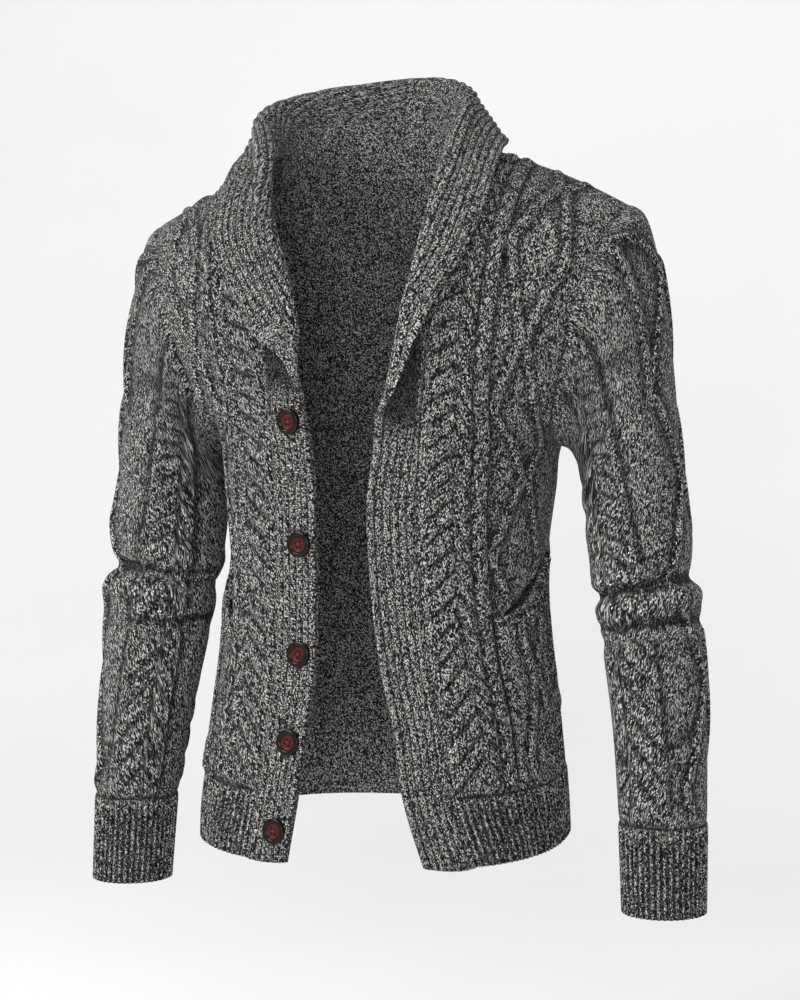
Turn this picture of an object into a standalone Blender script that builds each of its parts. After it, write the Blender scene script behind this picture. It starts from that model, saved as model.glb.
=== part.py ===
"""Shawl collar cardigan, worn and hollow, in metres.

+Z is up, the front faces -Y and the wearer's left is at +X. The origin is the
middle of the neck base, at the height where the shoulder seams meet the neck.
"""
import math

import bmesh
import bpy
import numpy as np
from mathutils import Matrix, Vector

# Driving sizes -----------------------------------------------------------
WALL = 0.0028            # the knit between its ridges
SEAM = 0.0003            # air between two pieces at a seam
HEM_HEIGHT = 0.062
CUFF_HEIGHT = 0.079
HEM_LEVEL = -0.642       # lower edge at the side seams
HEM_TILT = 0.112         # the hem hangs lower in front
UNDERARM = -0.275
TIP_X = 0.232            # shoulder tips, where the sleeves begin
TIP_Z = {-1: -0.064, 1: -0.054}
SHOULDER_BEND = {-1: 1.0, 1: 1.55}   # the shoulder line steepens towards its tip
SHOULDER_Y = 0.015       # the shoulder seams lie in this plane
NECK_X = {-1: 0.108, 1: 0.084}
NECK_BACK_Z = -0.012
NECK_CROWN = 0.045       # height of the shoulder form inside the neck
NECK_BOWL = 6            # how late the back's rows bend up to the neck points
SHOULDER_BOW = 1.5       # how the rows take up the shoulder line's bow
SHOULDER_DEPTH = {"front": 0.150, "back": 0.170}
SECTION_POWER = 2.35     # squareness of the body's cross-section
CHEST_POWERS = (2.2, 1.8)   # how the form rounds off below the shoulder line
SIDE_CROWDING = 2.2      # a row's samples crowd towards its side edge

# Cable sizes
BRAID_RIDGE = 0.0024
ROPE_RIDGE = 0.0022
LATTICE_RIDGE = 0.0026
RIB_RIDGE = 0.0014
RIB_PITCH = 0.0064
RIDGE_SINK = {"plain": 1.0, "braid": 0.85, "apex": 0.70, "rope": 0.50}   # each second row
BRAID_RISE = 1.5         # rows that a chevron's middle stands above its feet
END_ROWS = 3.0           # rows in which the ridges fade out at a seam
LATTICE_ROWS = 12        # rows in one diamond
LATTICE_START = 5        # row where the first diamond opens
BODY_ROWS, SIDE_ROWS = 50, 26
SHOULDER_ROWS = 16       # rows that follow the shoulder line's bow
LOOSE_ROWS = 2           # rows apart outside the braids and ropes
NECK_ROW = 40            # from here the inner faces keep more rows, round the neck
SLEEVE_ROWS = 38

BUTTON_RADIUS, BUTTON_THICK = 0.0120, 0.0046
BUTTON_HEIGHTS = (-0.254, -0.366, -0.466, -0.546, -0.627)
BUTTON_INSET = 0.0150    # button's middle from the free edge
BUTTON_SIDES = 12
BUTTON_HOLE, BUTTON_HOLE_RING = 0.0012, 0.0027

SIDES = {"right": -1, "left": 1}


def table(columns, *rows):
    """A small table with named columns."""
    return {name: np.array([row[k] for row in rows]) for k, name in enumerate(columns.split())}


BODY = table(
    "height  right   left    front  back",
    (-0.665, 0.1745, 0.1750, 0.130, 0.118),
    (-0.620, 0.1730, 0.1735, 0.129, 0.118),
    (-0.560, 0.1645, 0.1690, 0.127, 0.117),
    (-0.517, 0.1560, 0.1650, 0.125, 0.116),
    (-0.445, 0.1455, 0.1570, 0.122, 0.113),
    (-0.390, 0.1440, 0.1535, 0.121, 0.112),
    (-0.317, 0.1470, 0.1620, 0.122, 0.113),
    (-0.275, 0.1520, 0.1680, 0.123, 0.115),
    (-0.250, 0.1710, 0.1820, 0.124, 0.116),
    (-0.200, 0.2010, 0.2070, 0.125, 0.118),
    (-0.150, 0.2270, 0.2300, 0.122, 0.116),
    (-0.100, 0.2470, 0.2480, 0.115, 0.110),
    (-0.050, 0.2600, 0.2600, 0.105, 0.100),
    (0.060,  0.2650, 0.2650, 0.100, 0.095))

ARMHOLE = table(
    "height  right   left",
    (-0.275, 0.1520, 0.1680),
    (-0.262, 0.1560, 0.1705),
    (-0.240, 0.1645, 0.1760),
    (-0.200, 0.1800, 0.1860),
    (-0.150, 0.1970, 0.1990),
    (-0.100, 0.2150, 0.2160),
    (-0.064, 0.2320, 0.2290),
    (-0.054, 0.2320, 0.2320))

FREE_EDGE = table(
    "height  right   left",
    (-0.665, 0.0570, 0.0785),
    (-0.590, 0.0433, 0.0550),
    (-0.530, 0.0340, 0.0460),
    (-0.480, 0.0280, 0.0345),
    (-0.420, 0.0265, 0.0256),
    (-0.370, 0.0273, 0.0218),
    (-0.325, 0.0282, 0.0210),
    (-0.285, 0.0311, 0.0265),
    (-0.240, 0.0395, 0.0340))

NECKLINE = table(
    "height  right   left",
    (-0.665, 0.1000, 0.1210),
    (-0.590, 0.0863, 0.0980),
    (-0.530, 0.0770, 0.0890),
    (-0.480, 0.0710, 0.0775),
    (-0.420, 0.0695, 0.0686),
    (-0.370, 0.0703, 0.0650),
    (-0.325, 0.0712, 0.0645),
    (-0.255, 0.0760, 0.0690),
    (-0.200, 0.0830, 0.0735),
    (-0.120, 0.0945, 0.0795),
    (-0.050, 0.1030, 0.0825),
    (0.0,    0.1080, 0.0840))

# The collar's fold line and outer edge. share runs from the break to centre back.
COLLAR = {
    "left": table(
        "share fold_x   fold_y   fold_z   edge_x  edge_y   edge_z  turn",
        (0.000, 0.0290, -0.1300, -0.272, 0.0290, -0.1310, -0.272, 0.0050),
        (0.055, 0.0365, -0.1350, -0.245, 0.0470, -0.1390, -0.250, 0.0055),
        (0.110, 0.0440, -0.1375, -0.218, 0.0540, -0.1430, -0.224, 0.0055),
        (0.177, 0.0525, -0.1375, -0.185, 0.0665, -0.1430, -0.190, 0.0065),
        (0.258, 0.0600, -0.1320, -0.145, 0.0840, -0.1340, -0.148, 0.0075),
        (0.360, 0.0672, -0.1160, -0.100, 0.1080, -0.1150, -0.104, 0.0080),
        (0.480, 0.0725, -0.0900, -0.054, 0.1190, -0.0860, -0.060, 0.0080),
        (0.600, 0.0775, -0.0540, -0.008, 0.1240, -0.0480, -0.014, 0.0080),
        (0.700, 0.0790, -0.0120, 0.031, 0.1190, -0.0030, 0.006, 0.0080),
        (0.815, 0.0700, 0.0400, 0.062, 0.0960, 0.0560, 0.006, 0.0080),
        (0.910, 0.0420, 0.0720, 0.076, 0.0540, 0.0920, 0.000, 0.0080),
        (1.000, 0.0000, 0.0840, 0.079, 0.0000, 0.1040, -0.003, 0.0080)),
    "right": table(
        "share fold_x   fold_y   fold_z   edge_x  edge_y   edge_z  turn",
        (0.000, 0.0395, -0.1300, -0.240, 0.0395, -0.1310, -0.240, 0.0050),
        (0.055, 0.0395, -0.1345, -0.218, 0.0520, -0.1395, -0.223, 0.0055),
        (0.105, 0.0405, -0.1375, -0.196, 0.0640, -0.1430, -0.200, 0.0055),
        (0.170, 0.0445, -0.1375, -0.167, 0.0830, -0.1410, -0.171, 0.0065),
        (0.240, 0.0540, -0.1300, -0.131, 0.1050, -0.1300, -0.134, 0.0075),
        (0.335, 0.0700, -0.1130, -0.090, 0.1300, -0.1090, -0.095, 0.0080),
        (0.450, 0.0900, -0.0830, -0.050, 0.1390, -0.0790, -0.058, 0.0080),
        (0.570, 0.1080, -0.0480, -0.004, 0.1410, -0.0420, -0.022, 0.0080),
        (0.660, 0.1220, -0.0170, 0.025, 0.1440, -0.0050, -0.006, 0.0085),
        (0.730, 0.1290, 0.0100, 0.042, 0.1450, 0.0260, -0.002, 0.0090),
        (0.820, 0.1180, 0.0460, 0.058, 0.1310, 0.0640, 0.000, 0.0085),
        (0.900, 0.0780, 0.0690, 0.070, 0.0880, 0.0880, 0.000, 0.0080),
        (1.000, 0.0000, 0.0840, 0.079, 0.0000, 0.1040, -0.003, 0.0080)),
}

# Rings of a sleeve: the line over the arm, the line under it, the middle's y,
# the half depth and how far the ring has left the armhole's own shape.
SLEEVE = {
    "left": table(
        "share  over_x  over_z   under_x  under_z  middle_y  depth   own",
        (0.00,  0.2320, -0.054,  0.1680, -0.2750,  0.0020,  0.0700, 0.00),
        (0.05,  0.2475, -0.068,  0.1795, -0.2745,  0.0020,  0.0690, 0.25),
        (0.12,  0.2600, -0.102,  0.1880, -0.2850,  0.0000,  0.0670, 0.65),
        (0.22,  0.2700, -0.155,  0.1935, -0.3060, -0.0040,  0.0640, 1.00),
        (0.34,  0.2785, -0.222,  0.1965, -0.3260, -0.0120,  0.0600, 1.00),
        (0.47,  0.2865, -0.300,  0.2035, -0.3620, -0.0240,  0.0560, 1.00),
        (0.60,  0.2980, -0.372,  0.2125, -0.4050, -0.0350,  0.0530, 1.00),
        (0.72,  0.3080, -0.446,  0.2225, -0.4580, -0.0440,  0.0500, 1.00),
        (0.86,  0.3145, -0.528,  0.2335, -0.5300, -0.0520,  0.0460, 1.00),
        (1.00,  0.3165, -0.612,  0.2410, -0.6120, -0.0610,  0.0410, 1.00)),
    "right": table(
        "share  over_x  over_z   under_x  under_z  middle_y  depth   own",
        (0.00,  0.2320, -0.064,  0.1520, -0.2750,  0.0020,  0.0700, 0.00),
        (0.05,  0.2405, -0.080,  0.1600, -0.2738,  0.0020,  0.0690, 0.25),
        (0.12,  0.2480, -0.112,  0.1620, -0.2860,  0.0010,  0.0670, 0.65),
        (0.22,  0.2540, -0.163,  0.1610, -0.3040,  0.0000,  0.0660, 1.00),
        (0.34,  0.2580, -0.225,  0.1600, -0.3260, -0.0060,  0.0610, 1.00),
        (0.47,  0.2590, -0.300,  0.1600, -0.3620, -0.0160,  0.0560, 1.00),
        (0.60,  0.2620, -0.372,  0.1630, -0.4050, -0.0260,  0.0530, 1.00),
        (0.72,  0.2660, -0.446,  0.1700, -0.4580, -0.0340,  0.0500, 1.00),
        (0.86,  0.2680, -0.528,  0.1835, -0.5300, -0.0420,  0.0460, 1.00),
        (1.00,  0.2715, -0.612,  0.1970, -0.6120, -0.0490,  0.0410, 1.00)),
}

# Folds of a sleeve: place along it, half width as a share of its length, how far
# out (or in), the angle where it is deepest and how far round it reaches.
FOLDS = {
    "left": table(
        "place  spread  out      middle  reach",
        (0.575, 0.026,  0.0030,  40.0,   170.0),
        (0.625, 0.018, -0.0055,  90.0,   150.0),
        (0.668, 0.022,  0.0030,  40.0,   170.0),
        (0.712, 0.016, -0.0042, 100.0,   110.0),
        (0.300, 0.040, -0.0040, 130.0,    70.0),
        (0.410, 0.030, -0.0032, 150.0,    60.0)),
    "right": table(
        "place  spread  out      middle  reach",
        (0.560, 0.026,  0.0035, 120.0,   170.0),
        (0.622, 0.020, -0.0060, 110.0,   160.0),
        (0.668, 0.022,  0.0022,  60.0,   170.0),
        (0.712, 0.015, -0.0036, 120.0,   100.0),
        (0.310, 0.040, -0.0040, 120.0,    70.0),
        (0.430, 0.030, -0.0030, 150.0,    60.0)),
}

# Columns across a body panel from the band seam or the middle back: metres from
# it, ridge height in metres and kind.
BRAID_COLUMNS = (
    (0.0160, BRAID_RIDGE, "braid"),
    (0.0315, BRAID_RIDGE, "apex"),
    (0.0405, BRAID_RIDGE, "braid"),
    (0.0485, 0.0, "plain"),
    (0.0570, ROPE_RIDGE, "rope"),
    (0.0655, 0.0, "plain"))
BACK_BANDS = 4           # the back has no ropes
LATTICE_FIRST = 6        # column where the front's lattice begins
LATTICE_RIDGES = (8, 11)
FRONT_KEPT = (0, 2, 4, 6, 8, 10, 13, 14)
BACK_KEPT = (0, 2, 4, 6, 8, 11, 12)
SIDE_COLUMN = 0.86       # plain column near the side, as a share of the lattice's room
LATTICE_FOOT = 0.0075


# Small helpers -----------------------------------------------------------
def smooth(at, places, values):
    """Cubic curve through a table's values, flat beyond its ends."""
    slopes = np.gradient(values, places)
    at = np.clip(at, places[0], places[-1])
    k = np.clip(np.searchsorted(places, at) - 1, 0, len(places) - 2)
    step = places[k + 1] - places[k]
    t = (at - places[k]) / step
    rise = (2 * t**3 - 3 * t**2 + 1) * values[k] + (3 * t**2 - 2 * t**3) * values[k + 1]
    return rise + step * ((t**3 - 2 * t**2 + t) * slopes[k] + (t**3 - t**2) * slopes[k + 1])


def look(source, name, at, key="height"):
    return smooth(at, source[key], source[name])


def ease(share):
    """0 to 1 with soft ends."""
    share = float(np.clip(share, 0, 1))
    return share * share * (3 - 2 * share)


def unit(vectors):
    length = np.linalg.norm(vectors, axis=-1, keepdims=True)
    return vectors / np.maximum(length, 1e-12)


def lengths(line):
    """Distance along a line of points, from 0 at its first."""
    steps = np.linalg.norm(np.diff(line, axis=0), axis=1)
    return np.concatenate([[0.0], np.cumsum(steps)])


def along(line, places):
    """Points of a line at the given distances."""
    run = lengths(line)
    return np.stack([np.interp(places, run, line[:, k]) for k in range(line.shape[1])], axis=-1)


def normals(grid, closed=False):
    """Unit normals of a grid of points, rows by columns."""
    down = np.gradient(grid, axis=0)
    if closed:
        across = (np.roll(grid, -1, axis=1) - np.roll(grid, 1, axis=1)) / 2
    else:
        across = np.gradient(grid, axis=1)
    return unit(np.cross(across, down))


def outward(grid, closed=False, centre=(0.0, 0.0)):
    """Normals turned away from the upright line through centre."""
    found = normals(grid, closed)
    away = grid[..., :2] - np.array(centre)
    if np.sum(found[..., :2] * away) < 0:
        found = -found
    return found


def picked(count, step):
    """Every step-th index of count, with the first and the last."""
    kept = list(range(0, count, step))
    if kept[-1] != count - 1:
        if count - 1 - kept[-1] < step / 2:
            kept.pop()
        kept.append(count - 1)
    return kept


# Cloth walls -------------------------------------------------------------
class Cloth:
    """Collects the points and faces of one closed wall."""

    def __init__(self, name):
        self.name = name
        self.points = []
        self.faces = []

    def add(self, points):
        points = np.asarray(points, float)
        first = len(self.points)
        self.points.extend(points.reshape(-1, 3).tolist())
        return np.arange(first, len(self.points)).reshape(points.shape[:-1])

    def sheet(self, ids, closed=False):
        """Triangles between the rows of a grid of point numbers."""
        if closed:
            ids = np.concatenate([ids, ids[:, :1]], axis=1)
        for i in range(ids.shape[0] - 1):
            for j in range(ids.shape[1] - 1):
                self.faces.append((ids[i, j], ids[i, j + 1], ids[i + 1, j + 1]))
                self.faces.append((ids[i, j], ids[i + 1, j + 1], ids[i + 1, j]))

    def stitch(self, one, two, one_at, two_at):
        """Triangles between two lines of points, matched by their places.

        Even places take the shorter diagonal, so that both sides of a seam match.
        """
        i = j = 0
        while i < len(one) - 1 or j < len(two) - 1:
            if j == len(two) - 1:
                go_one = True
            elif i == len(one) - 1:
                go_one = False
            else:
                ahead = one_at[i] + one_at[i + 1] - two_at[j] - two_at[j + 1]
                shorter = self.apart(one[i + 1], two[j]) <= self.apart(one[i], two[j + 1])
                go_one = shorter if abs(ahead) < 1e-9 else ahead < 0
            if go_one:
                self.faces.append((one[i], one[i + 1], two[j]))
                i += 1
            else:
                self.faces.append((one[i], two[j + 1], two[j]))
                j += 1

    def apart(self, one, two):
        return math.dist(self.points[one], self.points[two])

    def rim(self, outer, inner, kept):
        """Closes an edge: inner holds only the outer points that kept names."""
        self.stitch(outer, inner, np.arange(len(outer)), np.array(kept))

    def finish(self, material):
        mesh = bpy.data.meshes.new(self.name)
        mesh.from_pydata(self.points, [], [tuple(int(k) for k in face) for face in self.faces])
        work = bmesh.new()
        work.from_mesh(mesh)
        face_out(work)
        work.to_mesh(mesh)
        work.free()
        mesh.shade_smooth()
        mesh.set_sharp_from_angle(angle=math.radians(50))
        return place(self.name, mesh, material)


def face_out(work):
    """Turns every face of a closed mesh outwards."""
    bmesh.ops.recalc_face_normals(work, faces=work.faces)
    if work.calc_volume(signed=True) < 0:
        bmesh.ops.reverse_faces(work, faces=work.faces)


def panel_wall(name, grid, facing, relief, kept_rows, kept_columns, dense):
    """A closed wall over a grid: ridges outside, plain and coarser inside.

    Outside the dense columns only every LOOSE_ROWS-th row is used.
    """
    cloth = Cloth(name)
    form = grid + facing * (WALL / 2 + relief)[..., None]
    columns = []
    for column in range(grid.shape[1]):
        rows = np.arange(0, grid.shape[0], 1 if column in dense else LOOSE_ROWS)
        columns.append((cloth.add(form[rows, column]), rows))
    for (one, one_at), (two, two_at) in zip(columns, columns[1:]):
        cloth.stitch(one, two, one_at, two_at)
    inner = cloth.add(inner_points(grid, facing, kept_rows, kept_columns))
    cloth.sheet(inner)
    for at in (0, -1):
        cloth.rim([ids[at] for ids, _ in columns], inner[at], kept_columns)
        cloth.stitch(columns[at][0], inner[:, at], columns[at][1], kept_rows)
    return cloth.finish(KNIT)


def inner_points(grid, facing, kept_rows, kept_columns):
    """Points of the inner face, spread evenly between the first and last row's."""
    ends = [lengths(grid[at])[kept_columns] / lengths(grid[at])[-1] for at in (0, -1)]
    points = []
    for row in kept_rows:
        up = row / (grid.shape[0] - 1)
        run = lengths(grid[row])
        at = run[-1] * (ends[0] + (ends[1] - ends[0]) * up)
        turned = unit(along_values(run, facing[row], at))
        points.append(along(grid[row], at) - turned * WALL / 2)
    return np.array(points)


def place(name, mesh, material):
    made = bpy.data.objects.new(name, mesh)
    made.data.materials.append(material)
    PARTS.objects.link(made)
    return made


def plain_material(name, colour, roughness):
    material = bpy.data.materials.new(name)
    material.use_nodes = True
    shader = material.node_tree.nodes["Principled BSDF"]
    shader.inputs["Base Color"].default_value = (*colour, 1.0)
    shader.inputs["Roughness"].default_value = roughness
    return material


# The body's form ---------------------------------------------------------
def shoulder_height(sign, x):
    """Height of the shoulder line above |x|, rising inside the neck."""
    neck = NECK_X[sign]
    share = np.clip((x - neck) / (TIP_X - neck), 0, 1.2)
    slope = TIP_Z[sign] * share ** SHOULDER_BEND[sign]
    inside = NECK_CROWN * (1 - (np.minimum(x, neck) / neck) ** 2)
    return np.where(x > neck, slope, inside)


def body_y(sign, face, x, z):
    """Depth of the body's surface above |x| at the height z."""
    side = "left" if sign > 0 else "right"
    width = look(BODY, side, z)
    ratio = np.clip(x / width, 0, 1)
    depth = look(BODY, face, z) * (1 - ratio ** SECTION_POWER) ** (1 / SECTION_POWER)
    below = np.clip((shoulder_height(sign, x) - z) / SHOULDER_DEPTH[face], 0, 1)
    filled = (1 - (1 - below) ** CHEST_POWERS[0]) ** (1 / CHEST_POWERS[1])
    facing = -1 if face == "front" else 1
    return SHOULDER_Y + (facing * depth - SHOULDER_Y) * filled


def edge_heights(sign, face):
    """Heights of a panel's side edge, row by row: side seam, then armhole."""
    side = "left" if sign > 0 else "right"
    seam = np.linspace(HEM_LEVEL + HEM_HEIGHT, UNDERARM, SIDE_ROWS + 1)
    z = UNDERARM + (TIP_Z[sign] - UNDERARM) * np.linspace(0, 1, 400) ** 2
    x = look(ARMHOLE, side, z)
    hole = np.stack([x, body_y(sign, face, x, z), z], axis=-1)
    run = lengths(hole)
    steps = np.linspace(0, run[-1], BODY_ROWS - SIDE_ROWS + 1)[1:]
    return np.concatenate([seam, np.interp(steps, run, z)])


def hem_plane(y):
    return HEM_LEVEL + HEM_HEIGHT + HEM_TILT * y


def inner_heights(sign, face):
    """Heights of a panel's inner edge: band seam in front, middle behind."""
    side = "left" if sign > 0 else "right"
    if face == "front":
        z = np.linspace(hem_plane(-BODY["front"][1]), 0.0, 400)
        x = look(NECKLINE, side, z)
    else:
        z = np.linspace(hem_plane(BODY["back"][1]), NECK_BACK_Z, 400)
        x = np.zeros(400)
    line = np.stack([x, body_y(sign, face, x, z), z], axis=-1)
    run = lengths(line)
    return np.interp(np.linspace(0, run[-1], BODY_ROWS + 1), run, z)


class Panel:
    """Half of a body panel's form: rows run from its inner to its outer edge."""

    def __init__(self, sign, face):
        self.sign, self.face = sign, face
        self.side = "left" if sign > 0 else "right"
        self.rows = np.arange(BODY_ROWS + 1.0)
        self.outer = edge_heights(sign, face)
        self.inner = inner_heights(sign, face)

    def line(self, row, samples=140):
        """Points of one row, |x| growing."""
        z_in = np.interp(row, self.rows, self.inner)
        z_out = np.interp(row, self.rows, self.outer)
        above = z_out > UNDERARM
        edge = look(ARMHOLE, self.side, z_out) if above else look(BODY, self.side, z_out)
        k = np.linspace(0, 1, samples)
        share = 1 - (1 - k) ** SIDE_CROWDING
        if self.face == "front":
            start = look(NECKLINE, self.side, z_in)
            x = start + (edge - start) * share
            z = z_in + (z_out - z_in) * share
        else:
            x = edge * share
            neck = NECK_X[self.sign]
            z_neck = z_in - NECK_BACK_Z * (row / BODY_ROWS) ** NECK_BOWL
            bowl = z_in + (z_neck - z_in) * (np.minimum(x, neck) / neck) ** 2
            slope = z_neck + (z_out - z_neck) * np.clip((x - neck) / (edge - neck), 0, 1)
            z = np.where(x > neck, slope, bowl)
        reach = np.clip((np.abs(x) - NECK_X[self.sign]) / (edge - NECK_X[self.sign]), 0, 1)
        bow = shoulder_height(self.sign, x) - TIP_Z[self.sign] * reach
        bow = np.where(x > NECK_X[self.sign], bow, 0.0)
        z = z + bow * np.clip(1 - (BODY_ROWS - row) / SHOULDER_ROWS, 0, 1) ** SHOULDER_BOW
        lift = np.clip(1 - row / END_ROWS, 0, 1)
        y = body_y(self.sign, self.face, x, z)
        if lift > 0:
            z = z * (1 - lift) + lift * (hem_plane(y) + (z_in - self.inner[0]) * (1 - share)
                                         + (z_out - self.outer[0]) * share)
            y = body_y(self.sign, self.face, x, z)
        return np.stack([self.sign * x, y, z], axis=-1)


def lattice_places(row, centre=0.40, spread=0.29, least=0.045):
    """Shares of the lattice's width where its two ridges run in this row."""
    wave = abs(((row - LATTICE_START) / (LATTICE_ROWS / 2)) % 2 - 1)
    reach = least + (spread - least) * wave
    return centre - reach, centre + reach


def panel_columns(width, row, face):
    """Distances and ridge heights of a row's points, from its inner edge."""
    ends = min(1.0, row / END_ROWS, (BODY_ROWS - row) / END_ROWS)
    places, ridges, shifts = [0.0], [0.0], [0.0]
    bands = BRAID_COLUMNS if face == "front" else BRAID_COLUMNS[:BACK_BANDS]
    for distance, ridge, kind in bands:
        places.append(distance)
        ridges.append(ridge * (1 - RIDGE_SINK[kind] * (row % 2)) * ends)
        shifts.append({"braid": 0.5, "apex": 1.0}.get(kind, 0.0) * BRAID_RISE * ends)
    start = bands[-1][0]
    room = width - start
    foot = min(LATTICE_FOOT / room, 0.07)
    left, right = lattice_places(row)
    middle = (left + right) / 2
    marks = (left - foot, left, min(left + foot, middle - 0.01), max(right - foot, middle + 0.01),
             right, right + foot, SIDE_COLUMN)
    for k, mark in enumerate(marks):
        places.append(start + room * mark)
        ridges.append(LATTICE_RIDGE * ends if k in (1, 4) else 0.0)
        shifts.append(0.0)
    places.append(width)
    ridges.append(0.0)
    shifts.append(0.0)
    return np.array(places), np.array(ridges), np.array(shifts)


def panel_grid(panel):
    """Middle points and ridge heights of a half panel, rows by columns."""
    grid, relief = [], []
    top = panel.line(float(BODY_ROWS))
    neck = np.interp(NECK_X[panel.sign], np.abs(top[:, 0]), lengths(top))
    corner = int(np.argmin(np.abs(panel_columns(lengths(top)[-1], BODY_ROWS, "back")[0] - neck)))
    for row in range(BODY_ROWS + 1):
        line = panel.line(float(row))
        places, ridges, shifts = panel_columns(lengths(line)[-1], row, panel.face)
        if panel.face == "back":
            pull = max(0.0, (row - BODY_ROWS + 4) / 4)
            places[corner] += (neck - places[corner]) * pull
        points = along(line, places)
        for k in np.nonzero(shifts)[0]:
            other = panel.line(row + shifts[k])
            points[k] = along(other, places[k:k + 1])[0]
        grid.append(points)
        relief.append(ridges)
    return np.array(grid), np.array(relief), corner


def side_normals(panel, grid):
    """Normals along the side seam, shared by the front and the back."""
    seam = grid[:SIDE_ROWS + 1, -1]
    rise = np.gradient(seam, axis=0)
    found = np.cross(rise, np.array([0.0, 1.0, 0.0]))
    found = unit(found)
    return found * np.sign(found[:, :1]) * panel.sign


def square_to(directions, axis):
    """Unit normals without their share along an axis."""
    flat = directions.copy()
    flat[..., axis] = 0.0
    return unit(flat)


def panel_normals(panel, grid):
    found = outward(grid)
    found[:SIDE_ROWS + 1, -1] = side_normals(panel, grid)
    found[-1] = square_to(found[-1], 1)
    return found


def under_pocket(row, place, width):
    """True where a pocket lies over the panel."""
    return place > POCKET_START and row < pocket_top(place, width) + 1.5


def inner_rows():
    """Rows that the inner faces keep."""
    return sorted(set(range(0, BODY_ROWS, 4)) | {SIDE_ROWS, *range(NECK_ROW, BODY_ROWS + 1, 2)})


def make_front(side):
    sign = SIDES[side]
    panel = Panel(sign, "front")
    grid, relief, _ = panel_grid(panel)
    facing = panel_normals(panel, grid)
    for row in range(BODY_ROWS + 1):
        run = lengths(grid[row])
        for k, place_k in enumerate(run):
            if under_pocket(row, place_k, run[-1]):
                relief[row, k] = 0.0
    kept_rows = inner_rows()
    kept_columns = list(FRONT_KEPT)
    shift = np.zeros_like(grid)
    shift[:SIDE_ROWS + 1, -1, 1] = -SEAM / 2
    shift[-1, :, 1] = -SEAM / 2
    grid = grid + shift
    panel_wall("front_" + side, grid, facing, relief, kept_rows, kept_columns, range(LATTICE_FIRST + 1))
    return {"panel": panel, "grid": grid, "normals": facing, "relief": relief,
            "kept_rows": kept_rows, "kept_columns": kept_columns}


def make_back():
    halves = {}
    for side, sign in SIDES.items():
        panel = Panel(sign, "back")
        halves[side] = (panel, *panel_grid(panel))
    grid = np.concatenate([halves["right"][1][:, :0:-1], halves["left"][1]], axis=1)
    relief = np.concatenate([halves["right"][2][:, :0:-1], halves["left"][2]], axis=1)
    facing = outward(grid)
    facing[:SIDE_ROWS + 1, 0] = side_normals(halves["right"][0], grid[:, ::-1])
    facing[:SIDE_ROWS + 1, -1] = side_normals(halves["left"][0], grid)
    for k in range(grid.shape[1]):
        if grid[-1, k, 0] <= -NECK_X[-1] or grid[-1, k, 0] >= NECK_X[1]:
            facing[-1, k] = square_to(facing[-1, k], 1)
    shift = np.zeros_like(grid)
    shift[:SIDE_ROWS + 1, (0, -1), 1] = SEAM / 2
    shift[-1, :, 1] = SEAM / 2
    grid = grid + shift
    middle = (grid.shape[1] - 1) // 2
    kept_columns = sorted({middle - k for k in (*BACK_KEPT, halves["right"][3])}
                          | {middle + k for k in (*BACK_KEPT, halves["left"][3])})
    kept_rows = inner_rows()
    dense = range(middle - BACK_BANDS, middle + BACK_BANDS + 1)
    panel_wall("back", grid, facing, relief, kept_rows, kept_columns, dense)
    return {"grid": grid, "normals": facing, "relief": relief, "middle": middle,
            "kept_rows": kept_rows, "kept_columns": kept_columns}


# Edges that a neighbour is sewn to ---------------------------------------
class Edge:
    """An edge's outer and inner points, moved on by the seam's air."""

    def __init__(self, middle, facing, relief, kept, away):
        self.middle = middle + away * SEAM
        self.away = away
        self.facing = facing
        self.relief = relief
        self.kept = list(kept)

    def outer(self):
        return self.middle + self.facing * (WALL / 2 + self.relief)[:, None]

    def inner(self):
        return (self.middle - self.facing * WALL / 2)[self.kept]


def away_from(grid_edge, facing, inside):
    """Unit directions that leave a piece across its edge."""
    run = np.gradient(grid_edge, axis=0)
    found = unit(np.cross(run, facing))
    return found * np.sign(np.sum(found * (grid_edge - inside), axis=-1, keepdims=True))


# Sleeves -----------------------------------------------------------------
SLEEVE_LATTICE = (8.0, 36.0)         # angles that the lattice ridge swings between
SLEEVE_BRAID = ((71.0, "braid", 0.5), (85.0, "apex", 1.0), (99.0, "braid", 0.5))
SLEEVE_PLAIN = (58.0, 113.0, 156.0)
SLEEVE_KEPT = (0, 2, 4, 8, 9, 10, 11, 12, 16, 18)
ELBOW = (0.52, 0.76)                 # shares of the sleeve with the deepest folds


def armhole_edge(side, front, back):
    """The armhole as one ring: from the shoulder tip down the front and back up."""
    rows = slice(SIDE_ROWS, BODY_ROWS + 1, LOOSE_ROWS)
    column = -1 if side == "left" else 0
    f_mid, f_norm = front["grid"][rows, -1], front["normals"][rows, -1]
    b_mid, b_norm = back["grid"][rows, column], back["normals"][rows, column]
    f_in = front["grid"][rows, -2]
    b_in = back["grid"][rows, -2 if side == "left" else 1]
    f_away = away_from(f_mid, f_norm, f_in)
    b_away = away_from(b_mid, b_norm, b_in)
    kept = [(k - SIDE_ROWS) // LOOSE_ROWS for k in front["kept_rows"] if k >= SIDE_ROWS]
    count = (BODY_ROWS - SIDE_ROWS) // LOOSE_ROWS
    middle = np.concatenate([f_mid[::-1], b_mid[1:-1]])
    facing = np.concatenate([f_norm[::-1], b_norm[1:-1]])
    away = np.concatenate([f_away[::-1], b_away[1:-1]])
    for at, f_at in ((0, -1), (count, 0)):
        middle[at] = (f_mid[f_at] + b_mid[f_at]) / 2
        facing[at] = unit(f_norm[f_at] + b_norm[f_at])
        away[at] = unit(f_away[f_at] + b_away[f_at])
    ring = sorted({count - k for k in kept} | {count + k for k in kept if k < count})
    return Edge(middle, facing, np.zeros(len(middle)), ring, away)


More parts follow.
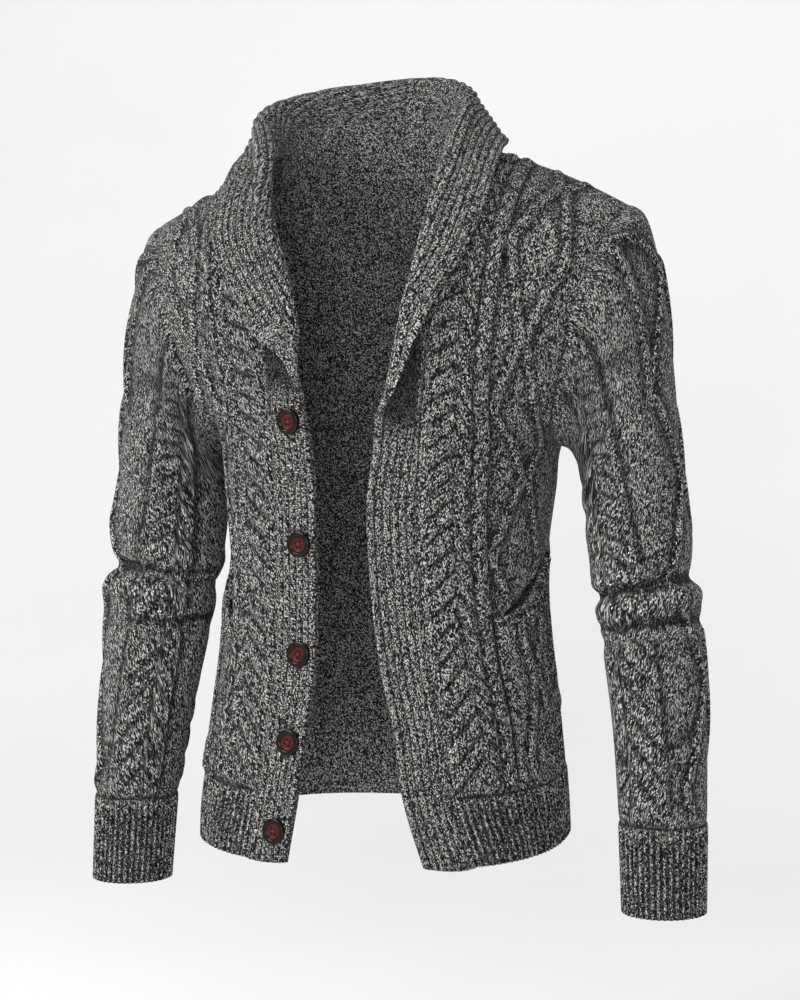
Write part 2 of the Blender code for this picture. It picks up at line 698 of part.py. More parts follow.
def sleeve_point(side, share, angle, hole):
    """Middle of the sleeve's wall; angle 0 is over the arm, 90 in front."""
    sign = SIDES[side]
    get = {name: look(SLEEVE[side], name, share, "share") for name in SLEEVE[side]}
    over = np.array([get["over_x"], get["middle_y"], get["over_z"]])
    under = np.array([get["under_x"], get["middle_y"], get["under_z"]])
    turn = math.radians(angle)
    centre, arm = (over + under) / 2, (over - under) / 2
    push = 0.0
    folds = FOLDS[side]
    for k in range(len(folds["place"])):
        near = math.exp(-((share - folds["place"][k]) / folds["spread"][k]) ** 2)
        apart = abs((angle - folds["middle"][k] + 180) % 360 - 180)
        round_it = max(0.0, math.cos(min(apart / folds["reach"][k], 1) * math.pi / 2))
        push += folds["out"][k] * near * round_it
    size = np.linalg.norm(arm)
    grow = (size + push) / size
    deep = get["depth"] + push
    point = centre + arm * math.cos(turn) * grow
    point[1] -= deep * math.sin(turn)
    own = float(np.clip(get["own"], 0, 1))
    if own < 1:
        at_hole = hole_point(hole, angle)
        start = {name: SLEEVE[side][name][0] for name in SLEEVE[side]}
        first = np.array([start["over_x"] + start["under_x"], 2 * start["middle_y"],
                          start["over_z"] + start["under_z"]]) / 2
        base = at_hole * np.array([sign, 1, 1]) - first
        point = own * point + (1 - own) * (centre + base)
    point[0] *= sign
    return point


def hole_point(hole, angle):
    """Point of the armhole ring that an angle of the sleeve starts from."""
    run = lengths(np.concatenate([hole.middle, hole.middle[:1]]))
    half = run[len(hole.middle) // 2]
    if angle <= 180:
        at = half * angle / 180
    else:
        at = half + (run[-1] - half) * (angle - 180) / 180
    return along(np.concatenate([hole.middle, hole.middle[:1]]), np.array([at]))[0]


def sleeve_columns(row):
    """Angles, ridge heights and row shifts of one ring of a sleeve."""
    ends = min(1.0, row / END_ROWS, (SLEEVE_ROWS - row) / END_ROWS)
    wave = abs((row / (LATTICE_ROWS / 2)) % 2 - 1)
    ridge_at = SLEEVE_LATTICE[0] + (SLEEVE_LATTICE[1] - SLEEVE_LATTICE[0]) * wave
    lattice = ((ridge_at - 6, 0.0, 0.0), (ridge_at, LATTICE_RIDGE, 0.0), (ridge_at + 8, 0.0, 0.0))
    braid = tuple((angle, BRAID_RIDGE * (1 - RIDGE_SINK[kind] * (row % 2)), shift)
                  for angle, kind, shift in SLEEVE_BRAID)
    before, *after = ((angle, 0.0, 0.0) for angle in SLEEVE_PLAIN)
    half = (*lattice, before, *braid, *after)
    back = tuple((360 - angle, ridge, shift) for angle, ridge, shift in reversed(half))
    columns = ((0.0, 0.0, 0.0),) + half + ((180.0, 0.0, 0.0),) + back
    angles, ridges, shifts = np.array(columns).T
    return angles, ridges * ends, shifts * BRAID_RISE * ends


def make_sleeve(side, hole):
    rings, relief, angles_by_row = [], [], []
    for row in range(1, SLEEVE_ROWS + 1):
        angles, ridges, shifts = sleeve_columns(row)
        shares = (row - shifts) / SLEEVE_ROWS
        ring = [sleeve_point(side, share, angle, hole) for share, angle in zip(shares, angles)]
        rings.append(ring)
        relief.append(ridges)
        angles_by_row.append(angles)
    grid, relief = np.array(rings), np.array(relief)
    facing = normals(grid, closed=True)
    centres = grid.mean(axis=1, keepdims=True)
    if np.sum(facing * (grid - centres)) < 0:
        facing = -facing
    facing[-1] = square_to(facing[-1], 2)
    folded = range(int(ELBOW[0] * SLEEVE_ROWS), int(ELBOW[1] * SLEEVE_ROWS))
    kept_rows = sorted(set(range(0, SLEEVE_ROWS, 3)) | set(folded) | {SLEEVE_ROWS - 1})
    kept_columns = list(SLEEVE_KEPT)
    cloth = Cloth("sleeve_" + side)
    first_outer, first_inner = cloth.add(hole.outer()), cloth.add(hole.inner())
    outer = cloth.add(grid + facing * (WALL / 2 + relief)[..., None])
    inner = cloth.add((grid - facing * WALL / 2)[np.ix_(kept_rows, kept_columns)])
    cloth.sheet(outer, closed=True)
    cloth.sheet(inner, closed=True)
    run = lengths(np.concatenate([hole.middle, hole.middle[:1]]))
    half = run[len(hole.middle) // 2]
    hole_angles = np.where(run <= half, 180 * run / half, 180 + 180 * (run - half) / (run[-1] - half))
    close_ring(cloth, first_outer, hole_angles, outer[0], angles_by_row[0])
    close_ring(cloth, first_inner, np.append(hole_angles[hole.kept], 360.0), inner[0],
               angles_by_row[0][kept_columns])
    loop = np.append(first_outer, first_outer[0])
    cloth.rim(loop, np.append(first_inner, first_inner[0]), hole.kept + [len(loop) - 1])
    close_ring(cloth, outer[-1], np.append(angles_by_row[-1], 360 + angles_by_row[-1][0]),
               inner[-1], angles_by_row[-1][kept_columns])
    cloth.finish(KNIT)
    down = np.tile(np.array([0.0, 0.0, -1.0]), (grid.shape[1], 1))
    return Edge(grid[-1], facing[-1], np.zeros(grid.shape[1]), kept_columns, down)


def close_ring(cloth, one, one_at, two, two_at):
    """Stitches two closed rings; one_at has the first angle again at its end."""
    start = int(np.argmin(np.abs(np.asarray(two_at) - one_at[0])))
    two = np.roll(two, -start)
    places = np.roll(np.asarray(two_at, float), -start)
    places = np.where(np.arange(len(places)) >= len(places) - start, places + 360, places)
    if places[0] - one_at[0] > 180:
        places = places - 360
    two, places = np.append(two, two[0]), np.append(places, places[0] + 360)
    one = np.append(one, one[0]) if len(one) < len(one_at) else one
    cloth.stitch(one, two, one_at, places)


# Ribbed bands ------------------------------------------------------------
RIB_KEPT = 6                         # a band's inner face keeps each sixth point
CUFF_PITCH = 0.88                    # of RIB_PITCH
CUFF_RINGS = ((0.004, 0.98), (CUFF_HEIGHT, 0.93))   # drops and sizes
CUFF_LEAN = (0.002, -0.006)
HEM_DROPS = (0.0045, HEM_HEIGHT)


def rib_relief(count):
    return np.where(np.arange(count) % 2 == 1, RIB_RIDGE, 0.0)


def make_cuff(side, edge):
    """Rib tube from the sleeve's end to a slightly narrower wrist edge."""
    centre = edge.middle.mean(axis=0)
    offset = edge.middle - centre
    angles = np.degrees(np.unwrap(np.arctan2(offset[:, 1], offset[:, 0])))
    if angles[1] < angles[0]:
        angles = -angles
    angles = angles - angles[0]
    loop = np.concatenate([edge.middle, edge.middle[:1]])
    run = lengths(loop)
    ribs = int(round(run[-1] / (RIB_PITCH * CUFF_PITCH)))
    places = np.linspace(0, run[-1], 2 * ribs, endpoint=False)
    start = along(loop, places)
    rows = []
    for drop, size in CUFF_RINGS:
        ring = centre + (start - centre) * np.array([size, size, 1.0])
        lean = np.array([CUFF_LEAN[0] * SIDES[side], CUFF_LEAN[1], 0.0]) * drop / CUFF_HEIGHT
        ring = ring + lean + np.array([0.0, 0.0, -drop])
        rows.append(ring)
    grid = np.array(rows)
    facing = unit((grid - grid.mean(axis=1, keepdims=True)) * np.array([1.0, 1.0, 0.0]))
    relief = np.tile(rib_relief(2 * ribs), (2, 1))
    kept = picked(2 * ribs + 1, RIB_KEPT)[:-1]
    cloth = Cloth("cuff_" + side)
    top_outer, top_inner = cloth.add(edge.outer()), cloth.add(edge.inner())
    outer = cloth.add(grid + facing * (WALL / 2 + relief)[..., None])
    inner = cloth.add((grid - facing * WALL / 2)[:, kept])
    cloth.sheet(outer, closed=True)
    cloth.sheet(inner, closed=True)
    part_of = run / run[-1]
    at = np.append(places / run[-1], 1.0)
    loop_outer = np.append(top_outer, top_outer[0])
    cloth.stitch(loop_outer, np.append(outer[0], outer[0, 0]), part_of, at)
    shares = np.append(part_of[edge.kept], 1 + part_of[edge.kept[0]])
    first = int(edge.kept[0])
    inner_loop = np.append(top_inner, top_inner[0])
    kept_at = at[kept]
    begin = int(np.argmin(np.abs(kept_at - part_of[first])))
    order = np.roll(np.arange(len(kept)), -begin)
    order_at = np.where(np.arange(len(kept)) >= len(kept) - begin, kept_at[order] + 1, kept_at[order])
    cloth.stitch(inner_loop, np.append(inner[0, order], inner[0, order[0]]), shares,
                 np.append(order_at, order_at[0] + 1))
    rolled = np.roll(top_outer, -first)
    count = len(top_outer)
    cloth.stitch(np.append(rolled, rolled[0]), inner_loop, np.arange(count + 1),
                 np.append(np.array(edge.kept) - first, count))
    cloth.rim(np.append(outer[-1], outer[-1, 0]), np.append(inner[-1], inner[-1, 0]),
              kept + [2 * ribs])
    cloth.finish(RIB)


def hem_line(sign, face, x, drop):
    """Points of the body's surface at a drop below the hem seam, |x| given."""
    y = body_y(sign, face, x, np.full(len(x), HEM_LEVEL + HEM_HEIGHT / 2))
    for _ in range(3):
        z = hem_plane(y) - drop
        y = body_y(sign, face, x, z)
    return np.stack([sign * x, y, z], axis=-1)


def hem_rows(ends):
    """Lower rows of a hem piece at even rib steps; ends are its two sides."""
    rows = []
    for drop in HEM_DROPS:
        lines = []
        for sign, face, start in ends:
            side = "left" if sign > 0 else "right"
            level = HEM_LEVEL + HEM_HEIGHT - drop
            edge = look(BODY, side, np.array([level]))[0]
            in_front = level - HEM_TILT * BODY["front"][0]
            begin = look(NECKLINE, side, np.array([in_front]))[0] if start else 0.0
            k = np.linspace(0, 1, 200)
            x = begin + (edge - begin) * (1 - (1 - k) ** SIDE_CROWDING)
            lines.append(hem_line(sign, face, x, drop))
        line = lines[0] if len(lines) == 1 else np.concatenate([lines[0][:0:-1], lines[1]])
        rows.append(line)
    ribs = int(round(lengths(rows[0])[-1] / RIB_PITCH))
    return [along(line, np.linspace(0, lengths(line)[-1], 2 * ribs + 1)) for line in rows]


def make_hem(name, ends, edge):
    grid = np.array(hem_rows(ends))
    count = grid.shape[1]
    facing = np.stack([unit(np.cross(np.gradient(row, axis=0), [0.0, 0.0, 1.0])) for row in grid])
    if np.sum(facing * (grid * np.array([1.0, 1.0, 0.0]))) < 0:
        facing = -facing
    gap = SEAM / 2 if ends[0][1] == "back" else -SEAM / 2
    sides = [-1] if len(ends) == 1 else [0, -1]
    for at in sides:
        facing[:, at] = square_to(facing[:, at], 1)
        facing[:, at] = unit(facing[:, at] * np.array([1.0, 0.0, 0.0]))
        grid[:, at, 1] = gap
    relief = np.tile(rib_relief(count), (2, 1))
    kept = picked(count, RIB_KEPT)
    cloth = Cloth(name)
    top_outer, top_inner = cloth.add(edge.outer()), cloth.add(edge.inner())
    outer = cloth.add(grid + facing * (WALL / 2 + relief)[..., None])
    inner = cloth.add((grid - facing * WALL / 2)[:, kept])
    cloth.sheet(outer)
    cloth.sheet(inner)
    top_at = lengths(edge.middle) / lengths(edge.middle)[-1]
    low_at = np.linspace(0, 1, count)
    cloth.stitch(top_outer, outer[0], top_at, low_at)
    cloth.stitch(top_inner, inner[0], top_at[edge.kept], low_at[kept])
    cloth.rim(top_outer, top_inner, edge.kept)
    cloth.rim(outer[-1], inner[-1], kept)
    for at in (0, -1):
        cloth.faces.append((top_outer[at], outer[0, at], inner[0, at], top_inner[at]))
        cloth.faces.append((outer[0, at], outer[1, at], inner[1, at], inner[0, at]))
    cloth.finish(RIB)
    return grid, facing


# Collar and bands --------------------------------------------------------
STRIP_COLUMNS = 48
STRIP_KEPT = (1, 9, 17, 22, 26, 30, 39, 48)
COLLAR_PITCH = 0.0072
BAND_STATIONS = 9
# Stations above the break, as shares of the way to the centre back: close where
# the fold begins and round the neck point.
COLLAR_SHARES = (0.0, 0.025, 0.05, 0.075, 0.10, 0.13, 0.16, 0.19, 0.225, 0.265, 0.31, 0.36, 0.42,
                 0.48, 0.54, 0.60, 0.655, 0.705, 0.75, 0.79, 0.83, 0.87, 0.91, 0.955, 1.0)
RIBBED_BOTH = 5          # stations above the break with ribs on both faces
BREAK = {"right": -0.238, "left": -0.272}   # heights where the bands start to turn over
CURL_END, FALL_END = 0.09, 0.16   # shares where the band has turned over, and where the fall is whole
SQUARED = 0.12           # share from which the stand's sections stand square to its line
STAND_SPRING = 0.4       # how far the stand first follows the panel
FALL_PUFF = 0.0030
BAND_TURN, BAND_SINK = 0.0055, 0.004


def collar_section(seam, fold, edge, out, away, turn, curl, over):
    """Cross-section of the strip: seam, stand, rounded fold and fall."""
    up = unit(fold - seam)
    stand_end = fold - up * turn * math.sin(min(curl, math.pi / 2)) - out * turn * over
    middle = stand_end + out * turn
    k = np.linspace(0, 1, 24)[:, None]
    spring = seam + away * max(0.0, np.dot(away, stand_end - seam)) * STAND_SPRING
    stand = (1 - k) ** 2 * seam + 2 * k * (1 - k) * spring + k ** 2 * stand_end
    angle = np.linspace(0, curl, 15)[1:, None]
    roll = middle + turn * (up * np.sin(angle) - out * np.cos(angle))
    fall = roll[-1] + (edge - roll[-1]) * k[1:] * over + out * np.sin(np.pi * k[1:]) * FALL_PUFF * over
    return np.concatenate([stand, roll, fall] if over > 0 else [stand, roll])


def strip_seam(side, front, back, hem):
    """The neckline seam from the hem's lower edge to the middle back."""
    sign = SIDES[side]
    hem_grid, hem_facing = hem
    low_mid, low_norm = hem_grid[::-1, 0], hem_facing[::-1, 0]
    low_in = hem_grid[::-1, 1]
    f_mid, f_norm, f_in = front["grid"][:, 0], front["normals"][:, 0], front["grid"][:, 1]
    top, middle = back["grid"][-1], back["middle"]
    step = 1 if sign > 0 else -1
    columns = [k for k in range(middle, middle + step * 40, step)
               if 0 <= k < len(top) and abs(top[k, 0]) < NECK_X[sign] + SEAM][::-1]
    b_mid, b_norm = top[columns], back["normals"][-1][columns]
    b_in = back["grid"][-2][columns]
    middle_line = np.concatenate([low_mid, f_mid, b_mid])
    facing = np.concatenate([low_norm, f_norm, b_norm])
    away = np.concatenate([away_from(low_mid, low_norm, low_in), away_from(f_mid, f_norm, f_in),
                           away_from(b_mid, b_norm, b_in)])
    low = len(low_mid)
    corner = low + len(f_mid)
    away[corner - 1:corner + 1] = unit(away[corner - 1] + away[corner])
    facing[-1], away[-1] = square_to(facing[-1], 0), square_to(away[-1], 0)
    middle_line[-1, 0] = sign * SEAM / 2
    kept_back = [k for k, column in enumerate(columns) if column in back["kept_columns"]]
    kept = ([0, 1] + [low + k for k in front["kept_rows"]]
            + [low + len(f_mid) + k for k in kept_back])
    relief = np.concatenate([np.zeros(low + len(f_mid)), back["relief"][-1][columns]])
    return Edge(middle_line, facing, relief, sorted(set(kept)), away)


def make_collar(side, edge):
    sign = SIDES[side]
    run = lengths(edge.middle)
    z = edge.middle[:, 2]
    start = np.interp(BREAK[side], z[:40], run[:40])
    places = np.concatenate([np.linspace(0, start, BAND_STATIONS, endpoint=False),
                             start + (run[-1] - start) * np.array(COLLAR_SHARES)])
    seam_points = along(edge.middle, places)
    seam_facing = unit(along_values(run, edge.facing, places))
    seam_away = unit(along_values(run, edge.away, places))
    guide = COLLAR[side]
    sections = []
    for at, seam, out, away in zip(places, seam_points, seam_facing, seam_away):
        share = (at - start) / (run[-1] - start)
        curl = math.pi * ease(share / CURL_END)
        over = ease((share - CURL_END * 0.8) / (FALL_END - CURL_END * 0.8))
        if share < 0:
            height = seam[2]
            x = look(FREE_EDGE, side, height)
            rim = np.array([sign * x, body_y(sign, "front", x, height) - BAND_SINK, height])
            fold, turn, curl = rim, BAND_TURN, 0.0
        else:
            get = {name: look(guide, name, share, "share") for name in guide}
            fold = np.array([sign * get["fold_x"], get["fold_y"], get["fold_z"]])
            rim = np.array([sign * get["edge_x"], get["edge_y"], get["edge_z"]])
            turn = float(get["turn"])
            blend = min(1.0, share / SQUARED)
            across = unit(np.cross(unit(fold - seam), station_run(edge, at)))
            across = across * np.sign(np.sum(across * out))
            out = unit(out * (1 - blend) + across * blend)
        line = collar_section(seam, fold, rim, out, away, turn, curl, over)
        total = lengths(line)[-1]
        sections.append(along(line, total * np.linspace(0, 1, STRIP_COLUMNS + 1)))
    grid = np.array(sections)
    facing = normals(grid)
    if np.sum(facing[2, :, 1]) > 0:
        facing = -facing
    facing[-1] = square_to(facing[-1], 0)
    grid[-1, :, 0] = sign * SEAM / 2
    weave_strip(side, edge, run, places, grid, facing)
    return {"grid": grid, "normals": facing}


def ribbed_row(points, facing, sign):
    """One station's points from the free edge inwards, each second one a rib."""
    run = lengths(points[::-1])
    at = np.arange(0, run[-1] - COLLAR_PITCH / 4, COLLAR_PITCH / 2)
    middle = along(points[::-1], at)
    turned = unit(along_values(run, facing[::-1], at))
    high = WALL / 2 + rib_relief(len(at))
    return middle + sign * turned * high[:, None], at


def plain_row(points, facing, sign):
    """One station's plain points from the free edge inwards."""
    kept = list(STRIP_KEPT)[::-1]
    run = lengths(points[::-1])
    at = run[STRIP_COLUMNS - np.array(kept)]
    return points[kept] + sign * facing[kept] * WALL / 2, at


def weave_strip(side, edge, run, places, grid, facing):
    """The band and collar: ribs on the faces that show, plain beneath."""
    turned, last = BAND_STATIONS, len(places) - 1
    cloth = Cloth("collar_" + side)
    seam = {1: cloth.add(edge.outer()), -1: cloth.add(edge.inner())}
    seam_at = {1: run, -1: run[edge.kept]}
    faces = {}
    for sign, ribbed in ((1, lambda k: k <= turned + RIBBED_BOTH or k == last),
                        (-1, lambda k: k >= turned)):
        rows = [(ribbed_row if ribbed(k) else plain_row)(grid[k], facing[k], sign)
                for k in range(len(places))]
        rows = [(cloth.add(points), at) for points, at in rows]
        for (one, one_at), (two, two_at) in zip(rows, rows[1:]):
            cloth.stitch(one, two, one_at, two_at)
        cloth.stitch(seam[sign], [ids[-1] for ids, _ in rows], seam_at[sign], places)
        faces[sign] = rows
    cloth.rim(seam[1], seam[-1], edge.kept)
    cloth.rim([ids[0] for ids, _ in faces[1]], [ids[0] for ids, _ in faces[-1]], range(len(places)))
    for k in (0, -1):
        (one, one_at), (two, two_at) = faces[1][k], faces[-1][k]
        cloth.stitch(one, two, one_at, two_at)
        cloth.faces.append((seam[1][k], one[-1], two[-1], seam[-1][k]))
    cloth.finish(RIB)


def along_values(run, values, places):
    return np.stack([np.interp(places, run, values[:, k]) for k in range(3)], axis=-1)


def station_run(edge, at, reach=0.02):
    """Direction of the seam around a place on it."""
    run = lengths(edge.middle)
    two = along(edge.middle, np.array([max(at - reach, 0), min(at + reach, run[-1])]))
    return unit(two[1] - two[0])


# Pockets -----------------------------------------------------------------
POCKET_START = 0.062     # from the band seam
POCKET_INNER_ROW, POCKET_SIDE_ROW = 12.4, 17.4
POCKET_MOUTH_BEND = 1.6
POCKET_GAPE = {"right": 0.0035, "left": 0.0060}   # the mouth's edge off the front


def pocket_top(place, width):
    """Row of the slanted mouth above a place across the panel."""
    share = np.clip((place - POCKET_START) / (width - POCKET_START), 0, 1)
    return POCKET_INNER_ROW + (POCKET_SIDE_ROW - POCKET_INNER_ROW) * share ** POCKET_MOUTH_BEND


def between(values, row):
    """Values of a grid's rows at a row that may fall between two of them."""
    low = min(int(row), len(values) - 2)
    return values[low] + (values[low + 1] - values[low]) * (row - low)


def make_pocket(side, front):
    """The pocket repeats the front's own points, moved out over them."""
    grid, normal = front["grid"], front["normals"]
    columns = range(LATTICE_FIRST, grid.shape[1])
    across = lengths(between(grid, POCKET_INNER_ROW))
    cloth = Cloth("pocket_" + side)
    outer, inner, rows_of = [], [], []
    for column in columns:
        top = pocket_top(across[column], across[-1])
        step = 1 if column == LATTICE_FIRST else LOOSE_ROWS
        rows = np.append(np.arange(0, top - step / 2, step), top)
        points = np.array([between(grid[:, column], row) for row in rows])
        facing = unit(np.array([between(normal[:, column], row) for row in rows]))
        share = (column - LATTICE_FIRST) / (len(columns) - 1)
        up = np.clip((rows / top - 0.5) / 0.5, 0, 1)
        lift = SEAM + POCKET_GAPE[side] * up ** 2 * math.sin(math.pi * share) ** 0.8
        lift[-1] += SEAM * 2
        ridge = np.zeros(len(rows))
        if column in LATTICE_RIDGES:
            ridge[1:-1] = LATTICE_RIDGE
        inner.append(cloth.add(points + facing * (WALL / 2 + lift)[:, None]))
        outer.append(cloth.add(points + facing * (WALL * 1.5 + lift + ridge)[:, None]))
        rows_of.append(rows)
    for part in (outer, inner):
        for k in range(len(part) - 1):
            cloth.stitch(part[k], part[k + 1], rows_of[k], rows_of[k + 1])
    for k in (0, -1):
        cloth.rim(outer[k], inner[k], range(len(outer[k])))
        ends = [[line[k] for line in part] for part in (outer, inner)]
        cloth.rim(ends[0], ends[1], range(len(columns)))
    cloth.finish(KNIT)


# Buttons -----------------------------------------------------------------
def button_mesh():
    """Turned button with a raised rim and four holes, lying on z = 0."""
    r, t = BUTTON_RADIUS, BUTTON_THICK
    profile = ((0.60 * r, 0.45 * t), (0.78 * r, t), (r, 0.55 * t), (0.86 * r, 0.0))
    count = BUTTON_SIDES
    turns = np.arange(count) * 2 * math.pi / count
    points = [(x * math.cos(a), x * math.sin(a), z) for x, z in profile for a in turns]
    faces = [tuple(range(count)), tuple(range(3 * count, 4 * count))]
    for ring in range(len(profile) - 1):
        for k in range(count):
            one, two = ring * count + k, ring * count + (k + 1) % count
            faces.append((one, two, two + count, one + count))
    mesh = bpy.data.meshes.new("button_profile")
    mesh.from_pydata(points, [], faces)
    work = bmesh.new()
    work.from_mesh(mesh)
    face_out(work)
    work.to_mesh(mesh)
    work.free()
    turned = bpy.data.objects.new("button_turned", mesh)
    CUTTERS.objects.link(turned)
    turned.hide_render, turned.display_type = True, "WIRE"
    for k in range(4):
        turn = math.radians(45 + 90 * k)
        bpy.ops.mesh.primitive_cylinder_add(
            vertices=4, radius=BUTTON_HOLE, depth=4 * BUTTON_THICK,
            location=(BUTTON_HOLE_RING * math.cos(turn), BUTTON_HOLE_RING * math.sin(turn), 0.0))
        drill = bpy.context.active_object
        drill.name = f"button_drill_{k + 1}"
        for home in drill.users_collection:
            home.objects.unlink(drill)
        CUTTERS.objects.link(drill)
        drill.hide_render, drill.display_type = True, "WIRE"
        cut = turned.modifiers.new(f"Hole {k + 1}", "BOOLEAN")
        cut.operation, cut.object = "DIFFERENCE", drill
    bpy.context.view_layer.update()
    found = bpy.context.evaluated_depsgraph_get()
    made = bpy.data.meshes.new_from_object(turned.evaluated_get(found))
    made.name = "button"
    work = bmesh.new()
    work.from_mesh(made)
    face_out(work)
    work.to_mesh(made)
    work.free()
    made.materials.clear()
    made.shade_smooth()
    made.set_sharp_from_angle(angle=math.radians(40))
    return made


def make_buttons(strip):
    """Buttons on the wearer's right band, turned to its face."""
    shared = button_mesh()
    shared.materials.append(HORN)
    grid, facing = strip["grid"], strip["normals"]
    for k, height in enumerate(BUTTON_HEIGHTS):
        rows = grid[:BAND_STATIONS + 2, :, 2].mean(axis=1)
        at = np.interp(height, rows, np.arange(len(rows)))
        low = min(int(at), len(rows) - 2)
        part = at - low
        line = grid[low] * (1 - part) + grid[low + 1] * part
        run = lengths(line)
        middle = along(line, np.array([run[-1] - BUTTON_INSET]))[0]
        column = int(np.argmin(np.abs(run - (run[-1] - BUTTON_INSET))))
        out = unit(facing[low, column] * (1 - part) + facing[low + 1, column] * part)
        base = middle + out * (WALL / 2 + RIB_RIDGE + SEAM * 2)
        made = bpy.data.objects.new(f"button_{k + 1}", shared)
        turn = Vector(out).to_track_quat("Z", "Y")
        made.matrix_world = Matrix.Translation(Vector(base)) @ turn.to_matrix().to_4x4()
        PARTS.objects.link(made)


# Build -------------------------------------------------------------------
for old in list(bpy.data.objects):
    bpy.data.objects.remove(old, do_unlink=True)

PARTS = bpy.data.collections.new("shawl_collar_cardigan")
CUTTERS = bpy.data.collections.new("cutters")
bpy.context.scene.collection.children.link(PARTS)
bpy.context.scene.collection.children.link(CUTTERS)

KNIT = plain_material("marled cable knit", (0.13, 0.13, 0.135), 0.9)
RIB = plain_material("marled rib knit", (0.11, 0.11, 0.115), 0.9)
HORN = plain_material("dark horn", (0.06, 0.022, 0.018), 0.3)


def hem_edge(source):
    """The lower edge of a panel, as the hem's upper edge."""
    grid, facing = source["grid"][0], source["normals"][0]
    down = np.tile(np.array([0.0, 0.0, -1.0]), (len(grid), 1))
    return Edge(grid, facing, source["relief"][0], source["kept_columns"], down)


def main():
    back = make_back()
    make_hem("hem_back", [(-1, "back", False), (1, "back", False)], hem_edge(back))
    for side in SIDES:
        front = make_front(side)
        hem = make_hem("hem_front_" + side, [(SIDES[side], "front", True)], hem_edge(front))
        wrist = make_sleeve(side, armhole_edge(side, front, back))
        make_cuff(side, wrist)
        strip = make_collar(side, strip_seam(side, front, back, hem))
        make_pocket(side, front)
        if side == "right":
            make_buttons(strip)


main()
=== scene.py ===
"""Shawl collar cardigan in marled cable knit, with its stage, lights and camera.

Metres. +Z is up, the front faces -Y and the wearer's left is at +X.
"""
import math

import bmesh
import bpy
import numpy as np
from mathutils import Matrix, Vector


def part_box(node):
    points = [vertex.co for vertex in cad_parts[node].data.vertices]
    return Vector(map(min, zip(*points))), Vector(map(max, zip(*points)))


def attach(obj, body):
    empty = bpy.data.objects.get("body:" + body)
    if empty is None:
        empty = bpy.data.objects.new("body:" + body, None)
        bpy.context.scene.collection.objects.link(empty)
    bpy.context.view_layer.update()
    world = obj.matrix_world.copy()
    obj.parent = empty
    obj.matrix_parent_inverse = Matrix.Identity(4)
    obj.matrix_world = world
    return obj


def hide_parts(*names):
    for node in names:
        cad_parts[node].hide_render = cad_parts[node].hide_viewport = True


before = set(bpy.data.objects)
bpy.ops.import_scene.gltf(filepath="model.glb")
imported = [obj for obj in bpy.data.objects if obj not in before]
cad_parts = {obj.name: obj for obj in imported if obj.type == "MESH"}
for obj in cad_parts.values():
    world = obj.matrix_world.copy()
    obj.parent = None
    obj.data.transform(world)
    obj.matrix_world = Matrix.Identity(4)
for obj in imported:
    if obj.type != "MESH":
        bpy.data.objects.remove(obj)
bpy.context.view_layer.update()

bl_info = {
    "name": "Shawl collar cardigan",
    "version": (1, 0, 0),
    "blender": (4, 5, 0),
    "location": "3D View > Sidebar > Cardigan",
    "description": "Knits a worn shawl collar cardigan with cables, ribs, pockets and buttons",
    "category": "Add Mesh",
}

# Sizes -----------------------------------------------------------------
WALL = 0.0028            # the knit between its ridges
SEAM = 0.0003            # air between two pieces at a seam
HEM_HEIGHT = 0.062
CUFF_HEIGHT = 0.079
HEM_LEVEL = -0.642       # lower edge at the side seams
HEM_TILT = 0.112         # the hem hangs lower in front
UNDERARM = -0.275
TIP_X = 0.232            # shoulder tips, where the sleeves begin
TIP_Z = {-1: -0.064, 1: -0.054}
SHOULDER_BEND = {-1: 1.0, 1: 1.55}   # the shoulder line steepens towards its tip
SHOULDER_Y = 0.015       # the shoulder seams lie in this plane
NECK_X = {-1: 0.108, 1: 0.084}
NECK_BACK_Z = -0.012
NECK_CROWN = 0.045       # height of the shoulder form inside the neck
NECK_BOWL = 6            # how late the back's rows bend up to the neck points
SHOULDER_BOW = 1.5       # how the rows take up the shoulder line's bow
SHOULDER_DEPTH = {"front": 0.150, "back": 0.170}
SECTION_POWER = 2.35     # squareness of the body's cross-section
CHEST_POWERS = (2.2, 1.8)   # how the form rounds off below the shoulder line
SIDE_CROWDING = 2.2      # a row's samples crowd towards its side edge

# Cable sizes
LATTICE_RIDGE = 0.0030
RIB_PITCH = 0.0064
END_ROWS = 3.0           # rows in which the ridges fade out at a seam
LATTICE_ROWS = 12        # rows in one diamond
LATTICE_START = 5        # row where the first diamond opens
BODY_ROWS, SIDE_ROWS = 50, 26
SHOULDER_ROWS = 16       # rows that follow the shoulder line's bow
SLEEVE_ROWS = 38

BUTTON_RADIUS, BUTTON_THICK = 0.0120, 0.0046
BUTTON_HEIGHTS = (-0.254, -0.366, -0.466, -0.546, -0.627)
BUTTON_HOLE, BUTTON_HOLE_RING = 0.0012, 0.0027
BUTTON_STEPS = ((0.0020, 0.0005), (0.0022, -0.0003),   # inset and rise, from the rim inwards
                (0.0010, -0.0016), (0.0026, -0.0005))
BUTTON_FOOT, BUTTON_BEVEL = 0.0022, 0.0008
BUTTON_DISH = 0.0070     # radius of the wine-red middle
BUTTON_TURN = 20         # degrees from one sewn button to the next
THREAD_RADIUS = 0.00055
THREAD_LIE = 0.0031      # height of the lower strand between two holes
THREAD_CROSS = 0.0004    # how much higher the strand that crosses it lies
THREAD_DROP = 0.0034     # how far a strand's ends go down into the holes

SIDES = {"right": -1, "left": 1}
SIDE_OF = {-1: "right", 1: "left"}


def table(columns, *rows):
    """A small table with named columns."""
    return {name: np.array([row[k] for row in rows]) for k, name in enumerate(columns.split())}


